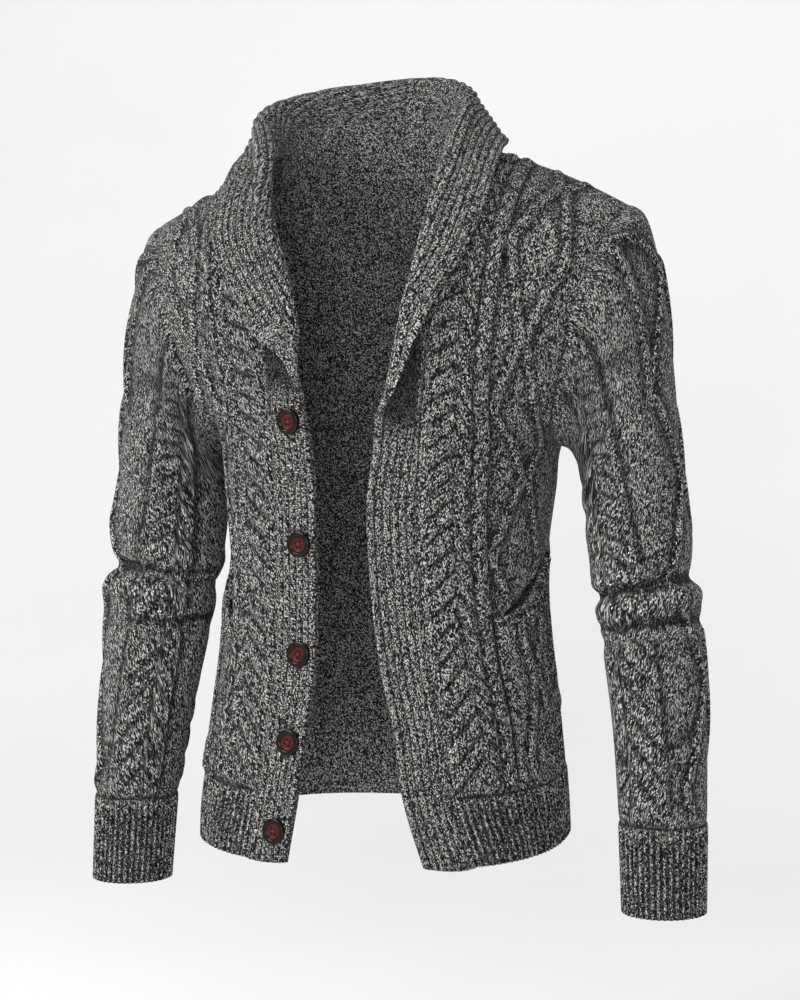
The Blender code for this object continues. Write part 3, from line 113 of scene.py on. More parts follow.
BODY = table(
    "height  right   left    front  back",
    (-0.665, 0.1745, 0.1750, 0.130, 0.118),
    (-0.620, 0.1730, 0.1735, 0.129, 0.118),
    (-0.560, 0.1645, 0.1690, 0.127, 0.117),
    (-0.517, 0.1560, 0.1650, 0.125, 0.116),
    (-0.445, 0.1455, 0.1570, 0.122, 0.113),
    (-0.390, 0.1440, 0.1535, 0.121, 0.112),
    (-0.317, 0.1470, 0.1620, 0.122, 0.113),
    (-0.275, 0.1520, 0.1680, 0.123, 0.115),
    (-0.250, 0.1710, 0.1820, 0.124, 0.116),
    (-0.200, 0.2010, 0.2070, 0.125, 0.118),
    (-0.150, 0.2270, 0.2300, 0.122, 0.116),
    (-0.100, 0.2470, 0.2480, 0.115, 0.110),
    (-0.050, 0.2600, 0.2600, 0.105, 0.100),
    (0.060,  0.2650, 0.2650, 0.100, 0.095))

ARMHOLE = table(
    "height  right   left",
    (-0.275, 0.1520, 0.1680),
    (-0.262, 0.1560, 0.1705),
    (-0.240, 0.1645, 0.1760),
    (-0.200, 0.1800, 0.1860),
    (-0.150, 0.1970, 0.1990),
    (-0.100, 0.2150, 0.2160),
    (-0.064, 0.2320, 0.2290),
    (-0.054, 0.2320, 0.2320))

FREE_EDGE = table(
    "height  right   left",
    (-0.665, 0.0570, 0.0785),
    (-0.590, 0.0433, 0.0550),
    (-0.530, 0.0340, 0.0460),
    (-0.480, 0.0280, 0.0345),
    (-0.420, 0.0265, 0.0256),
    (-0.370, 0.0273, 0.0218),
    (-0.325, 0.0282, 0.0210),
    (-0.285, 0.0311, 0.0265),
    (-0.240, 0.0395, 0.0340))

NECKLINE = table(
    "height  right   left",
    (-0.665, 0.1000, 0.1210),
    (-0.590, 0.0863, 0.0980),
    (-0.530, 0.0770, 0.0890),
    (-0.480, 0.0710, 0.0775),
    (-0.420, 0.0695, 0.0686),
    (-0.370, 0.0703, 0.0650),
    (-0.325, 0.0712, 0.0645),
    (-0.255, 0.0760, 0.0690),
    (-0.200, 0.0830, 0.0735),
    (-0.120, 0.0945, 0.0795),
    (-0.050, 0.1030, 0.0825),
    (0.0,    0.1080, 0.0840))

# The collar's fold line and outer edge. share runs from the break to centre back.
COLLAR = {
    "left": table(
        "share fold_x   fold_y   fold_z   edge_x  edge_y   edge_z  turn",
        (0.000, 0.0290, -0.1300, -0.272, 0.0290, -0.1310, -0.272, 0.0050),
        (0.055, 0.0365, -0.1350, -0.245, 0.0470, -0.1390, -0.250, 0.0055),
        (0.110, 0.0440, -0.1375, -0.218, 0.0540, -0.1430, -0.224, 0.0055),
        (0.177, 0.0525, -0.1375, -0.185, 0.0665, -0.1430, -0.190, 0.0065),
        (0.258, 0.0600, -0.1320, -0.145, 0.0840, -0.1340, -0.148, 0.0075),
        (0.360, 0.0672, -0.1160, -0.100, 0.1080, -0.1150, -0.104, 0.0080),
        (0.480, 0.0725, -0.0900, -0.054, 0.1190, -0.0860, -0.060, 0.0080),
        (0.600, 0.0775, -0.0540, -0.008, 0.1240, -0.0480, -0.014, 0.0080),
        (0.700, 0.0790, -0.0120, 0.031, 0.1190, -0.0030, 0.006, 0.0080),
        (0.815, 0.0700, 0.0400, 0.062, 0.0960, 0.0560, 0.006, 0.0080),
        (0.910, 0.0420, 0.0720, 0.076, 0.0540, 0.0920, 0.000, 0.0080),
        (1.000, 0.0000, 0.0840, 0.079, 0.0000, 0.1040, -0.003, 0.0080)),
    "right": table(
        "share fold_x   fold_y   fold_z   edge_x  edge_y   edge_z  turn",
        (0.000, 0.0395, -0.1300, -0.240, 0.0395, -0.1310, -0.240, 0.0050),
        (0.055, 0.0395, -0.1345, -0.218, 0.0520, -0.1395, -0.223, 0.0055),
        (0.105, 0.0405, -0.1375, -0.196, 0.0640, -0.1430, -0.200, 0.0055),
        (0.170, 0.0445, -0.1375, -0.167, 0.0830, -0.1410, -0.171, 0.0065),
        (0.240, 0.0540, -0.1300, -0.131, 0.1050, -0.1300, -0.134, 0.0075),
        (0.335, 0.0700, -0.1130, -0.090, 0.1300, -0.1090, -0.095, 0.0080),
        (0.450, 0.0900, -0.0830, -0.050, 0.1390, -0.0790, -0.058, 0.0080),
        (0.570, 0.1080, -0.0480, -0.004, 0.1410, -0.0420, -0.022, 0.0080),
        (0.660, 0.1220, -0.0170, 0.025, 0.1440, -0.0050, -0.006, 0.0085),
        (0.730, 0.1290, 0.0100, 0.042, 0.1450, 0.0260, -0.002, 0.0090),
        (0.820, 0.1180, 0.0460, 0.058, 0.1310, 0.0640, 0.000, 0.0085),
        (0.900, 0.0780, 0.0690, 0.070, 0.0880, 0.0880, 0.000, 0.0080),
        (1.000, 0.0000, 0.0840, 0.079, 0.0000, 0.1040, -0.003, 0.0080)),
}

# Rings of a sleeve: the line over the arm, the line under it, the middle's y,
# the half depth and how far the ring has left the armhole's own shape.
SLEEVE = {
    "left": table(
        "share  over_x  over_z   under_x  under_z  middle_y  depth   own",
        (0.00,  0.2320, -0.054,  0.1680, -0.2750,  0.0020,  0.0700, 0.00),
        (0.05,  0.2475, -0.068,  0.1795, -0.2745,  0.0020,  0.0690, 0.25),
        (0.12,  0.2600, -0.102,  0.1880, -0.2850,  0.0000,  0.0670, 0.65),
        (0.22,  0.2700, -0.155,  0.1935, -0.3060, -0.0040,  0.0640, 1.00),
        (0.34,  0.2785, -0.222,  0.1965, -0.3260, -0.0120,  0.0600, 1.00),
        (0.47,  0.2865, -0.300,  0.2035, -0.3620, -0.0240,  0.0560, 1.00),
        (0.60,  0.2980, -0.372,  0.2125, -0.4050, -0.0350,  0.0530, 1.00),
        (0.72,  0.3080, -0.446,  0.2225, -0.4580, -0.0440,  0.0500, 1.00),
        (0.86,  0.3145, -0.528,  0.2335, -0.5300, -0.0520,  0.0460, 1.00),
        (1.00,  0.3165, -0.612,  0.2410, -0.6120, -0.0610,  0.0410, 1.00)),
    "right": table(
        "share  over_x  over_z   under_x  under_z  middle_y  depth   own",
        (0.00,  0.2320, -0.064,  0.1520, -0.2750,  0.0020,  0.0700, 0.00),
        (0.05,  0.2405, -0.080,  0.1600, -0.2738,  0.0020,  0.0690, 0.25),
        (0.12,  0.2480, -0.112,  0.1620, -0.2860,  0.0010,  0.0670, 0.65),
        (0.22,  0.2540, -0.163,  0.1610, -0.3040,  0.0000,  0.0660, 1.00),
        (0.34,  0.2580, -0.225,  0.1600, -0.3260, -0.0060,  0.0610, 1.00),
        (0.47,  0.2590, -0.300,  0.1600, -0.3620, -0.0160,  0.0560, 1.00),
        (0.60,  0.2620, -0.372,  0.1630, -0.4050, -0.0260,  0.0530, 1.00),
        (0.72,  0.2660, -0.446,  0.1700, -0.4580, -0.0340,  0.0500, 1.00),
        (0.86,  0.2680, -0.528,  0.1835, -0.5300, -0.0420,  0.0460, 1.00),
        (1.00,  0.2715, -0.612,  0.1970, -0.6120, -0.0490,  0.0410, 1.00)),
}

# Folds of a sleeve: place along it, half width as a share of its length, how far
# out (or in), the angle where it is deepest and how far round it reaches.
FOLDS = {
    "left": table(
        "place  spread  out      middle  reach",
        (0.575, 0.026,  0.0030,  40.0,   170.0),
        (0.625, 0.018, -0.0055,  90.0,   150.0),
        (0.668, 0.022,  0.0030,  40.0,   170.0),
        (0.712, 0.016, -0.0042, 100.0,   110.0),
        (0.300, 0.040, -0.0040, 130.0,    70.0),
        (0.410, 0.030, -0.0032, 150.0,    60.0)),
    "right": table(
        "place  spread  out      middle  reach",
        (0.560, 0.026,  0.0035, 120.0,   170.0),
        (0.622, 0.020, -0.0060, 110.0,   160.0),
        (0.668, 0.022,  0.0022,  60.0,   170.0),
        (0.712, 0.015, -0.0036, 120.0,   100.0),
        (0.310, 0.040, -0.0040, 120.0,    70.0),
        (0.430, 0.030, -0.0030, 150.0,    60.0)),
}

# Finer than the solids: rows and columns of the knit, and its cables
ROW = 0.0133             # height of one counted row
BAND_EDGE = 0.0655       # where the front's cables end and the lattice begins
BACK_EDGE = 0.0485       # the same behind, where there is no rope
END_FADE = 0.012         # the cables sink to nothing in this much of a panel's end
CREST = 0.0042           # cables above the ground
GROOVE = 0.18            # of a cable's height that is left between its strands
PANEL_STEPS, BAND_STEPS, FIELD_STEPS = 288, 36, 44
SLEEVE_STEPS, SLEEVE_ROUND = 250, 156
STRIP_STEPS, STRIP_ACROSS = 280, 112
POCKET_START, POCKET_INNER_ROW, POCKET_SIDE_ROW, POCKET_MOUTH_BEND = 0.062, 12.4, 17.4, 1.6
POCKET_GAPE = {"right": 0.0035, "left": 0.0060}
POCKET_RIDGE, POCKET_RIB, POCKET_RIB_PITCH = 0.0030, 0.0022, 0.0060
POCKET_LATTICE = 0.076   # where its diamonds begin, from the band seam
COLLAR_PITCH, CUFF_PITCH = 0.0072, 0.0056
# Collar rib, stand rib, and the extra furrow depth that only darkens the collar's ribs with painted
# shade.
COLLAR_RIB, STAND_RIB, COLLAR_SHADE = 0.0021, 0.0024, 0.0016
RIB_HEIGHT, RIB_BACK, RIB_SHADE = 0.0033, 0.0008, 0.0075   # front, back and how dark the painted shade in the furrows is
BREAK = {"right": -0.238, "left": -0.272}
CURL_END, FALL_END, SQUARED, STAND_SPRING = 0.09, 0.16, 0.12, 0.4
FALL_PUFF, BAND_TURN, BAND_SINK = 0.0030, 0.0055, 0.004
LAPEL_START, LAPEL_REACH = 0.12, 0.075   # share of the collar where the lapel begins to roll
LAPEL_ROLL = 0.0016      # thickness of its rolled edge
STAND_DIP = 0.0050       # how far the stand falls back under the lapel's beginning
PLAIN_START = 0.34       # share of the collar from which the stand is plain inside
CUFF_DROPS, CUFF_SIZES = (0.0, 0.004, CUFF_HEIGHT), (1.0, 0.98, 0.93)   # it narrows to the hand
CUFF_LEAN = (0.002, -0.006)

# Slanted strands that meet under an apex: metres across from the band seam.
CHEVRON = {"left": -0.0020, "apex": 0.0325, "right": 0.0490, "rise_left": 0.034,
           "rise_right": 0.025, "pitch": 0.0222, "shoulder": 0.0090}
SLEEVE_CHEVRON = {"left": -0.0340, "apex": 0.0, "right": 0.0180, "rise_left": 0.036,
                  "rise_right": 0.022, "pitch": 0.0222, "shoulder": 0.0060}
SLEEVE_APEX = 118.0      # degrees from the line over the arm, towards the body
SLEEVE_DIAMOND = (5.0, 47.0, 46.0)   # degrees: outer and inner turn of the ridge, and the cord
SLEEVE_ROPE = {"middle": 0.0, "half": 0.0060, "pitch": 0.0150, "lean": 1.5}
SLEEVE_RIDGE, SLEEVE_RIDGE_HALF = 0.0040, 0.0048
ROPE_END, ROPE_SOFT = 0.30, 0.10     # shares of the sleeve where its upper rope ends
LADDER_ROWS = 88         # purl bumps down a sleeve
SEAM_DIP, SEAM_REACH = 0.0009, 0.0035   # how far and how wide the cloth sinks beside a seam
MOUTH_DIP = 0.0045       # how far the front falls back inside a pocket's mouth
ROPE = {"middle": 0.0572, "half": 0.0078, "pitch": 0.0180, "lean": 1.5}

# Crossing ridges: half their width, and as shares of the room beside the braid their
# middle, how near they come to it and how far they swing out.
LATTICE = {"half": 0.0050, "middle": 0.40, "near": 0.035, "swing": 0.310}
FURROW = 0.0011          # a hollow of this depth gets the darkest painted shade
LADDER_RIDGE, LADDER_SINK = 0.0011, 0.0010

# Soft creases: across and up at both ends, half width, and how far out (or in).
CREASES = {
    "front_left": table(
        "s0      t0      s1      t1      wide    out",
        (0.150,  0.400,  0.085,  0.470,  0.0130, 0.0030),
        (0.155,  0.372,  0.075,  0.420,  0.0110, -0.0030),
        (0.150,  0.340,  0.090,  0.350,  0.0120, 0.0022),
        (0.140,  0.030,  0.075,  0.012,  0.0100, 0.0022)),
    "front_right": table(
        "s0      t0      s1      t1      wide    out",
        (0.140,  0.395,  0.080,  0.460,  0.0120, 0.0030),
        (0.135,  0.365,  0.070,  0.405,  0.0110, -0.0028),
        (0.130,  0.335,  0.080,  0.322,  0.0120, 0.0022),
        (0.120,  0.028,  0.070,  0.014,  0.0100, 0.0020)),
    "back": table(
        "s0      t0      s1      t1      wide    out",
        (-0.175, 0.390,  -0.070, 0.450,  0.0150, 0.0035),
        (-0.170, 0.350,  -0.060, 0.395,  0.0130, -0.0030),
        (0.180,  0.395,  0.075,  0.452,  0.0150, 0.0035),
        (0.175,  0.352,  0.050,  0.400,  0.0130, -0.0028),
        (-0.150, 0.090,  -0.030, 0.060,  0.0140, 0.0030),
        (0.150,  0.075,  0.040,  0.050,  0.0130, 0.0026)),
    "sleeve_left": table(
        "s0      t0      s1      t1      wide    out",
        (0.150,  0.060,  0.055,  0.120,  0.0110, -0.0030),
        (0.165,  0.088,  0.080,  0.152,  0.0120, 0.0030),
        (-0.160, 0.072,  -0.070, 0.136,  0.0130, -0.0030),
        (0.175,  0.292,  -0.125, 0.304,  0.0054, -0.0046),
        (0.170,  0.304,  -0.070, 0.314,  0.0060, 0.0036),
        (0.175,  0.318,  -0.095, 0.334,  0.0050, -0.0042),
        (0.150,  0.280,  0.040,  0.285,  0.0060, 0.0030),
        (0.090,  0.330,  -0.020, 0.334,  0.0080, 0.0030),
        (0.060,  0.416,  0.010,  0.400,  0.0080, -0.0024),
        (-0.120, 0.256,  -0.010, 0.276,  0.0080, -0.0035),
        (-0.110, 0.298,  -0.020, 0.304,  0.0080, 0.0030)),
    "sleeve_right": table(
        "s0      t0      s1      t1      wide    out",
        (0.150,  0.064,  0.060,  0.128,  0.0110, -0.0030),
        (0.160,  0.094,  0.075,  0.160,  0.0120, 0.0030),
        (-0.160, 0.068,  -0.065, 0.132,  0.0130, -0.0030),
        (0.175,  0.262,  -0.115, 0.312,  0.0053, -0.0046),
        (0.165,  0.286,  -0.010, 0.308,  0.0080, 0.0036),
        (0.175,  0.310,  0.060,  0.322,  0.0050, -0.0045),
        (0.150,  0.248,  0.060,  0.262,  0.0080, 0.0034),
        (-0.125, 0.252,  -0.015, 0.272,  0.0080, -0.0035),
        (-0.110, 0.296,  -0.020, 0.307,  0.0080, 0.0030)),
}

# Small helpers ---------------------------------------------------------
def smooth(at, places, values):
    """Cubic curve through a table's values, flat beyond its ends."""
    slopes = np.gradient(values, places)
    at = np.clip(at, places[0], places[-1])
    k = np.clip(np.searchsorted(places, at) - 1, 0, len(places) - 2)
    step = places[k + 1] - places[k]
    t = (at - places[k]) / step
    rise = (2 * t**3 - 3 * t**2 + 1) * values[k] + (3 * t**2 - 2 * t**3) * values[k + 1]
    return rise + step * ((t**3 - 2 * t**2 + t) * slopes[k] + (t**3 - t**2) * slopes[k + 1])


def look(source, name, at, key="height"):
    """A column of a table at the given heights, or along another column."""
    return smooth(at, source[key], source[name])


def ease(share):
    """0 to 1 with soft ends."""
    share = float(np.clip(share, 0, 1))
    return share * share * (3 - 2 * share)


def unit(vectors):
    length = np.linalg.norm(vectors, axis=-1, keepdims=True)
    return vectors / np.maximum(length, 1e-12)


def lengths(line):
    """Distance along a line of points, from 0 at its first."""
    steps = np.linalg.norm(np.diff(line, axis=0), axis=1)
    return np.concatenate([[0.0], np.cumsum(steps)])


def along(line, places, run=None):
    """Values of a line at the given distances along it."""
    run = lengths(line) if run is None else run
    return np.stack([np.interp(places, run, line[:, k]) for k in range(line.shape[1])], axis=-1)


def bell(off, wide, power=2):
    """1 in the middle, falling softly to 0 on both sides."""
    return np.exp(-(off / wide) ** power)


def pair(across, down):
    return np.stack([across, down], axis=-1)


def smoothed(lines, rounds):
    """Unit vectors evened out along their first axis; the ends stay."""
    for _ in range(rounds):
        lines[1:-1] = unit(lines[:-2] + 2 * lines[1:-1] + lines[2:])


def normals(grid, closed=False):
    """Unit normals of a grid of points, rows by columns."""
    down = np.gradient(grid, axis=0)
    if closed:
        across = (np.roll(grid, -1, axis=1) - np.roll(grid, 1, axis=1)) / 2
    else:
        across = np.gradient(grid, axis=1)
    return unit(np.cross(across, down))


def outward(grid, closed=False, centre=(0.0, 0.0)):
    """Normals turned away from the upright line through centre."""
    found = normals(grid, closed)
    away = grid[..., :2] - np.array(centre)
    if np.sum(found[..., :2] * away) < 0:
        found = -found
    return found


# The body's form -------------------------------------------------------
def shoulder_height(sign, x):
    """Height of the shoulder line above |x|, rising inside the neck."""
    neck = NECK_X[sign]
    share = np.clip((x - neck) / (TIP_X - neck), 0, 1.2)
    slope = TIP_Z[sign] * share ** SHOULDER_BEND[sign]
    inside = NECK_CROWN * (1 - (np.minimum(x, neck) / neck) ** 2)
    return np.where(x > neck, slope, inside)


def body_y(sign, face, x, z):
    """Depth of the body's surface above |x| at the height z."""
    side = SIDE_OF[sign]
    width = look(BODY, side, z)
    ratio = np.clip(x / width, 0, 1)
    depth = look(BODY, face, z) * (1 - ratio ** SECTION_POWER) ** (1 / SECTION_POWER)
    below = np.clip((shoulder_height(sign, x) - z) / SHOULDER_DEPTH[face], 0, 1)
    filled = (1 - (1 - below) ** CHEST_POWERS[0]) ** (1 / CHEST_POWERS[1])
    facing = -1 if face == "front" else 1
    return SHOULDER_Y + (facing * depth - SHOULDER_Y) * filled


def edge_heights(sign, face):
    """Heights of a panel's side edge, row by row: side seam, then armhole."""
    side = SIDE_OF[sign]
    seam = np.linspace(HEM_LEVEL + HEM_HEIGHT, UNDERARM, SIDE_ROWS + 1)
    z = UNDERARM + (TIP_Z[sign] - UNDERARM) * np.linspace(0, 1, 400) ** 2
    x = look(ARMHOLE, side, z)
    hole = np.stack([x, body_y(sign, face, x, z), z], axis=-1)
    run = lengths(hole)
    steps = np.linspace(0, run[-1], BODY_ROWS - SIDE_ROWS + 1)[1:]
    return np.concatenate([seam, np.interp(steps, run, z)])


def hem_plane(y):
    return HEM_LEVEL + HEM_HEIGHT + HEM_TILT * y


def inner_heights(sign, face):
    """Heights of a panel's inner edge: band seam in front, middle behind."""
    side = SIDE_OF[sign]
    if face == "front":
        z = np.linspace(hem_plane(-BODY["front"][1]), 0.0, 400)
        x = look(NECKLINE, side, z)
    else:
        z = np.linspace(hem_plane(BODY["back"][1]), NECK_BACK_Z, 400)
        x = np.zeros(400)
    line = np.stack([x, body_y(sign, face, x, z), z], axis=-1)
    run = lengths(line)
    return np.interp(np.linspace(0, run[-1], BODY_ROWS + 1), run, z)


class Panel:
    """Half of a body panel's form: rows run from its inner to its outer edge."""

    def __init__(self, sign, face):
        self.sign, self.face = sign, face
        self.side = SIDE_OF[sign]
        self.rows = np.arange(BODY_ROWS + 1.0)
        self.outer = edge_heights(sign, face)
        self.inner = inner_heights(sign, face)

    def line(self, row, samples=140):
        """Points of one row, |x| growing."""
        z_in = np.interp(row, self.rows, self.inner)
        z_out = np.interp(row, self.rows, self.outer)
        above = z_out > UNDERARM
        edge = look(ARMHOLE, self.side, z_out) if above else look(BODY, self.side, z_out)
        k = np.linspace(0, 1, samples)
        share = 1 - (1 - k) ** SIDE_CROWDING
        if self.face == "front":
            start = look(NECKLINE, self.side, z_in)
            x = start + (edge - start) * share
            z = z_in + (z_out - z_in) * share
        else:
            x = edge * share
            neck = NECK_X[self.sign]
            z_neck = z_in - NECK_BACK_Z * (row / BODY_ROWS) ** NECK_BOWL
            bowl = z_in + (z_neck - z_in) * (np.minimum(x, neck) / neck) ** 2
            slope = z_neck + (z_out - z_neck) * np.clip((x - neck) / (edge - neck), 0, 1)
            z = np.where(x > neck, slope, bowl)
        reach = np.clip((np.abs(x) - NECK_X[self.sign]) / (edge - NECK_X[self.sign]), 0, 1)
        bow = shoulder_height(self.sign, x) - TIP_Z[self.sign] * reach
        bow = np.where(x > NECK_X[self.sign], bow, 0.0)
        z = z + bow * np.clip(1 - (BODY_ROWS - row) / SHOULDER_ROWS, 0, 1) ** SHOULDER_BOW
        lift = np.clip(1 - row / END_ROWS, 0, 1)
        y = body_y(self.sign, self.face, x, z)
        if lift > 0:
            z = z * (1 - lift) + lift * (hem_plane(y) + (z_in - self.inner[0]) * (1 - share)
                                         + (z_out - self.outer[0]) * share)
            y = body_y(self.sign, self.face, x, z)
        return np.stack([self.sign * x, y, z], axis=-1)


def square_to(directions, axis):
    """Unit normals without their share along an axis."""
    flat = directions.copy()
    flat[..., axis] = 0.0
    return unit(flat)


def away_from(grid_edge, facing, inside):
    """Unit directions that leave a piece across its edge."""
    run = np.gradient(grid_edge, axis=0)
    found = unit(np.cross(run, facing))
    return found * np.sign(np.sum(found * (grid_edge - inside), axis=-1, keepdims=True))


def pocket_top(place, width):
    """Row of the slanted mouth above a place across the panel."""
    share = np.clip((place - POCKET_START) / (width - POCKET_START), 0, 1)
    return POCKET_INNER_ROW + (POCKET_SIDE_ROW - POCKET_INNER_ROW) * share ** POCKET_MOUTH_BEND


def hem_line(sign, face, x, drop):
    """Points of the body's surface at a drop below the hem seam, |x| given."""
    y = body_y(sign, face, x, np.full(len(x), HEM_LEVEL + HEM_HEIGHT / 2))
    for _ in range(3):
        z = hem_plane(y) - drop
        y = body_y(sign, face, x, z)
    return np.stack([sign * x, y, z], axis=-1)


# Knitted relief ----------------------------------------------------------
def soft(value):
    """0 to 1 with soft ends, for whole arrays."""
    value = np.clip(value, 0, 1)
    return value * value * (3 - 2 * value)


def strand(place, power=3.2):
    """Rounded back of a strand: place runs 0 to 1 across it."""
    return (1 - np.abs(2 * (place % 1) - 1) ** power) ** 0.75


def chevron(s, t, sizes):
    """Height share and lean of strands that climb to an apex from both sides."""
    left, apex, right = sizes["left"], sizes["apex"], sizes["right"]
    inner = s < apex
    climb = np.clip(np.where(inner, (s - left) / (apex - left), (right - s) / (right - apex)), 0, 1)
    lean = climb * np.where(inner, sizes["rise_left"], sizes["rise_right"])
    place = (t - lean) / sizes["pitch"] + np.where(inner, 0.0, 0.5)
    border = soft((s - left) / sizes["shoulder"]) * soft((right - s) / 0.0028)
    split = 1 - 0.35 * bell(s - apex, 0.0014)
    return border * split * (GROOVE + (1 - GROOVE) * strand(place)), lean * border


def rope(s, t, sizes):
    """Height share and lean of a two-strand twist."""
    off = (s - sizes["middle"]) / sizes["half"]
    body = np.sqrt(np.clip(1 - off ** 2, 0, 1))
    lean = np.clip(off, -1, 1) * sizes["half"] * sizes["lean"]
    return body * (0.25 + 0.75 * strand((t - lean) / sizes["pitch"], 2.6)), lean * (body > 0)


def lattice(s, t_rows, start, room):
    """Height share of the two crossing ridges of the diamonds."""
    wave = np.abs(((t_rows - LATTICE_START) / (LATTICE_ROWS / 2)) % 2 - 1)
    reach = LATTICE["near"] + LATTICE["swing"] * wave
    height = np.zeros_like(s)
    for turn in (-1, 1):
        off = (s - start - room * (LATTICE["middle"] + turn * reach)) / LATTICE["half"]
        height = np.maximum(height, np.sqrt(np.clip(1 - off ** 2, 0, 1)))
    return height


def ribs(place, power=2.6):
    """Rib height share: a rounded ridge and a narrow furrow."""
    return 1 - np.abs(2 * (place % 1) - 1) ** power


def creased(name, s, t):
    """Soft troughs and ridges of one piece."""
    push = np.zeros_like(s)
    rows = CREASES[name]
    for k in range(len(rows["s0"])):
        one = np.array([rows["s0"][k], rows["t0"][k]])
        run = np.array([rows["s1"][k], rows["t1"][k]]) - one
        size = np.linalg.norm(run)
        run = run / size
        on = ((s - one[0]) * run[0] + (t - one[1]) * run[1]) / size
        off = (s - one[0]) * run[1] - (t - one[1]) * run[0]
        wide = rows["wide"][k] * (0.75 + 0.35 * on)
        push += rows["out"][k] * bell(off, wide) * np.sin(np.pi * np.clip(on * 0.8 + 0.1, 0, 1)) ** 1.5
    return push


# Cloth walls -------------------------------------------------------------
class Cloth:
    """Collects the points, faces and knit places of one closed wall."""

    def __init__(self, name):
        self.name = name
        self.points, self.spots, self.hollow = np.zeros((0, 3)), np.zeros((0, 2)), np.zeros(0)
        self.faces, self.inside, self.round = [], [], []

    def add(self, points, spots, hollow):
        first = len(self.points)
        self.hollow = np.concatenate([self.hollow, np.broadcast_to(hollow, points.shape[:-1]).ravel()])
        self.points = np.concatenate([self.points, points.reshape(-1, 3)])
        self.spots = np.concatenate([self.spots, spots.reshape(-1, 2)])
        return np.arange(first, len(self.points)).reshape(points.shape[:-1])

    def sheet(self, ids, inside=0):
        quads = np.stack([ids[:-1, :-1], ids[:-1, 1:], ids[1:, 1:], ids[1:, :-1]], axis=-1)
        self.faces.extend(quads.reshape(-1, 4).tolist())
        self.inside.extend(np.broadcast_to(inside, quads.shape[:2]).ravel().tolist())
        self.round.extend([(0.0, 0.0)] * quads.size)

    def stitch(self, one, two, one_at, two_at, gone):
        """Triangles between two lines of points, matched by their places."""
        i = j = 0
        here = (0.0, 0.0)
        while i < len(one) - 1 or j < len(two) - 1:
            if j == len(two) - 1 or (i < len(one) - 1 and one_at[i + 1] <= two_at[j + 1]):
                self.faces.append([int(one[i]), int(one[i + 1]), int(two[j])])
                self.round.extend([here, here, gone])
                i += 1
            else:
                self.faces.append([int(one[i]), int(two[j + 1]), int(two[j])])
                self.round.extend([here, gone, gone])
                j += 1
            self.inside.append(0)

    def finish(self):
        mesh = bpy.data.meshes.new(self.name)
        mesh.from_pydata(self.points.tolist(), [], self.faces)
        mesh.polygons.foreach_set("material_index", np.array(self.inside, int))
        turn = mesh.uv_layers.new(name="knit")
        corners = np.zeros(len(mesh.loops), int)
        mesh.loops.foreach_get("vertex_index", corners)
        turn.data.foreach_set("uv", (self.spots[corners] + np.array(self.round)).ravel())
        # The hollow values are painted shade: the knit's material darkens its colour by them.
        mesh.attributes.new("hollow", "FLOAT", "POINT").data.foreach_set("value", self.hollow)
        work = bmesh.new()
        work.from_mesh(mesh)
        bmesh.ops.remove_doubles(work, verts=work.verts, dist=1e-7)
        bmesh.ops.recalc_face_normals(work, faces=work.faces)
        if work.calc_volume(signed=True) < 0:
            bmesh.ops.reverse_faces(work, faces=work.faces)
        work.to_mesh(mesh)
        work.free()
        mesh.shade_smooth()
        made = bpy.data.objects.new(self.name, mesh)
        bpy.context.scene.collection.objects.link(made)
        return made


def furrows(relief, reach=4):
    """How deep each point lies below its neighbours' mean, as a share of a cable's height; the material
    paints shade by it.
    """
    mean = relief.copy()
    for axis in (0, 1):
        padded = np.concatenate([np.repeat(mean.take([0], axis), reach, axis), mean,
                                 np.repeat(mean.take([-1], axis), reach, axis)], axis)
        total = np.cumsum(np.concatenate([np.zeros_like(padded.take([0], axis)), padded], axis), axis)
        size = mean.shape[axis]
        mean = (total.take(range(2 * reach + 1, size + 2 * reach + 1), axis)
                - total.take(range(size), axis)) / (2 * reach + 1)
    return np.clip((mean - relief) / FURROW, 0, 1)


def wall(name, middle, facing, relief, spots, closed=False, coarse=4, under=None, clear=1.0,
         deep=0.0, plain=None, shade=0.0):
    """A closed wall: relief outside, plain and coarser inside, rims between."""
    cloth = Cloth(name)
    # Both faces carry painted shade in their hollow values, darker the deeper a point lies in a furrow;
    # deep adds depth that only darkens, clear weakens it, and shade lays a painted shadow over it.
    outer = cloth.add(middle + facing * (WALL / 2 + relief)[..., None], spots,
                      np.maximum(furrows(relief + deep) * clear, shade))
    rows = coarse_places(middle.shape[0], coarse)
    columns = coarse_places(middle.shape[1], coarse)
    under = np.zeros_like(relief) if under is None else under
    form = middle - facing * (WALL / 2 + under)[..., None]
    hollow = furrows(under)[np.ix_(rows, columns)]
    inner = cloth.add(form[np.ix_(rows, columns)], spots[np.ix_(rows, columns)], hollow)
    cloth.sheet(outer)
    cloth.sheet(inner, 1 if plain is None else 1 + (plain[:-1, :-1] > 0.5))
    for at in (0, -1):
        cloth.stitch(outer[at], inner[at], np.arange(middle.shape[1]), columns, (0.0, WALL))
        if not closed:
            cloth.stitch(outer[:, at], inner[:, at], np.arange(middle.shape[0]), rows, (WALL, 0.0))
    return cloth.finish()


def coarse_places(count, step):
    kept = list(range(0, count, step))
    return kept if kept[-1] == count - 1 else kept + [count - 1]


# Knits outside and inside, and the flat width, length and area of what shows
CUTS = {
    "back": (("cable", "purl"), (0.50, 0.62), 0.250),
    "front": (("cable", "purl"), (0.20, 0.62), 0.091),
    "sleeve": (("cable", "purl"), (0.42, 0.56), 0.150),
    "pocket": (("cable", "purl"), (0.12, 0.17), 0.0160),
    "cuff": (("rib", "rib"), (0.27, 0.079), 0.0212),
    "hem_back": (("rib", "rib"), (0.50, 0.062), 0.0305),
    "hem_front": (("rib", "rib"), (0.165, 0.062), 0.0098),
    "collar": (("rib", "rib", "purl"), (0.15, 1.12), 0.079)}
KNITS = {"cable": "marled wool cable knit", "rib": "marled wool rib knit",
         "purl": "marled wool purl side"}


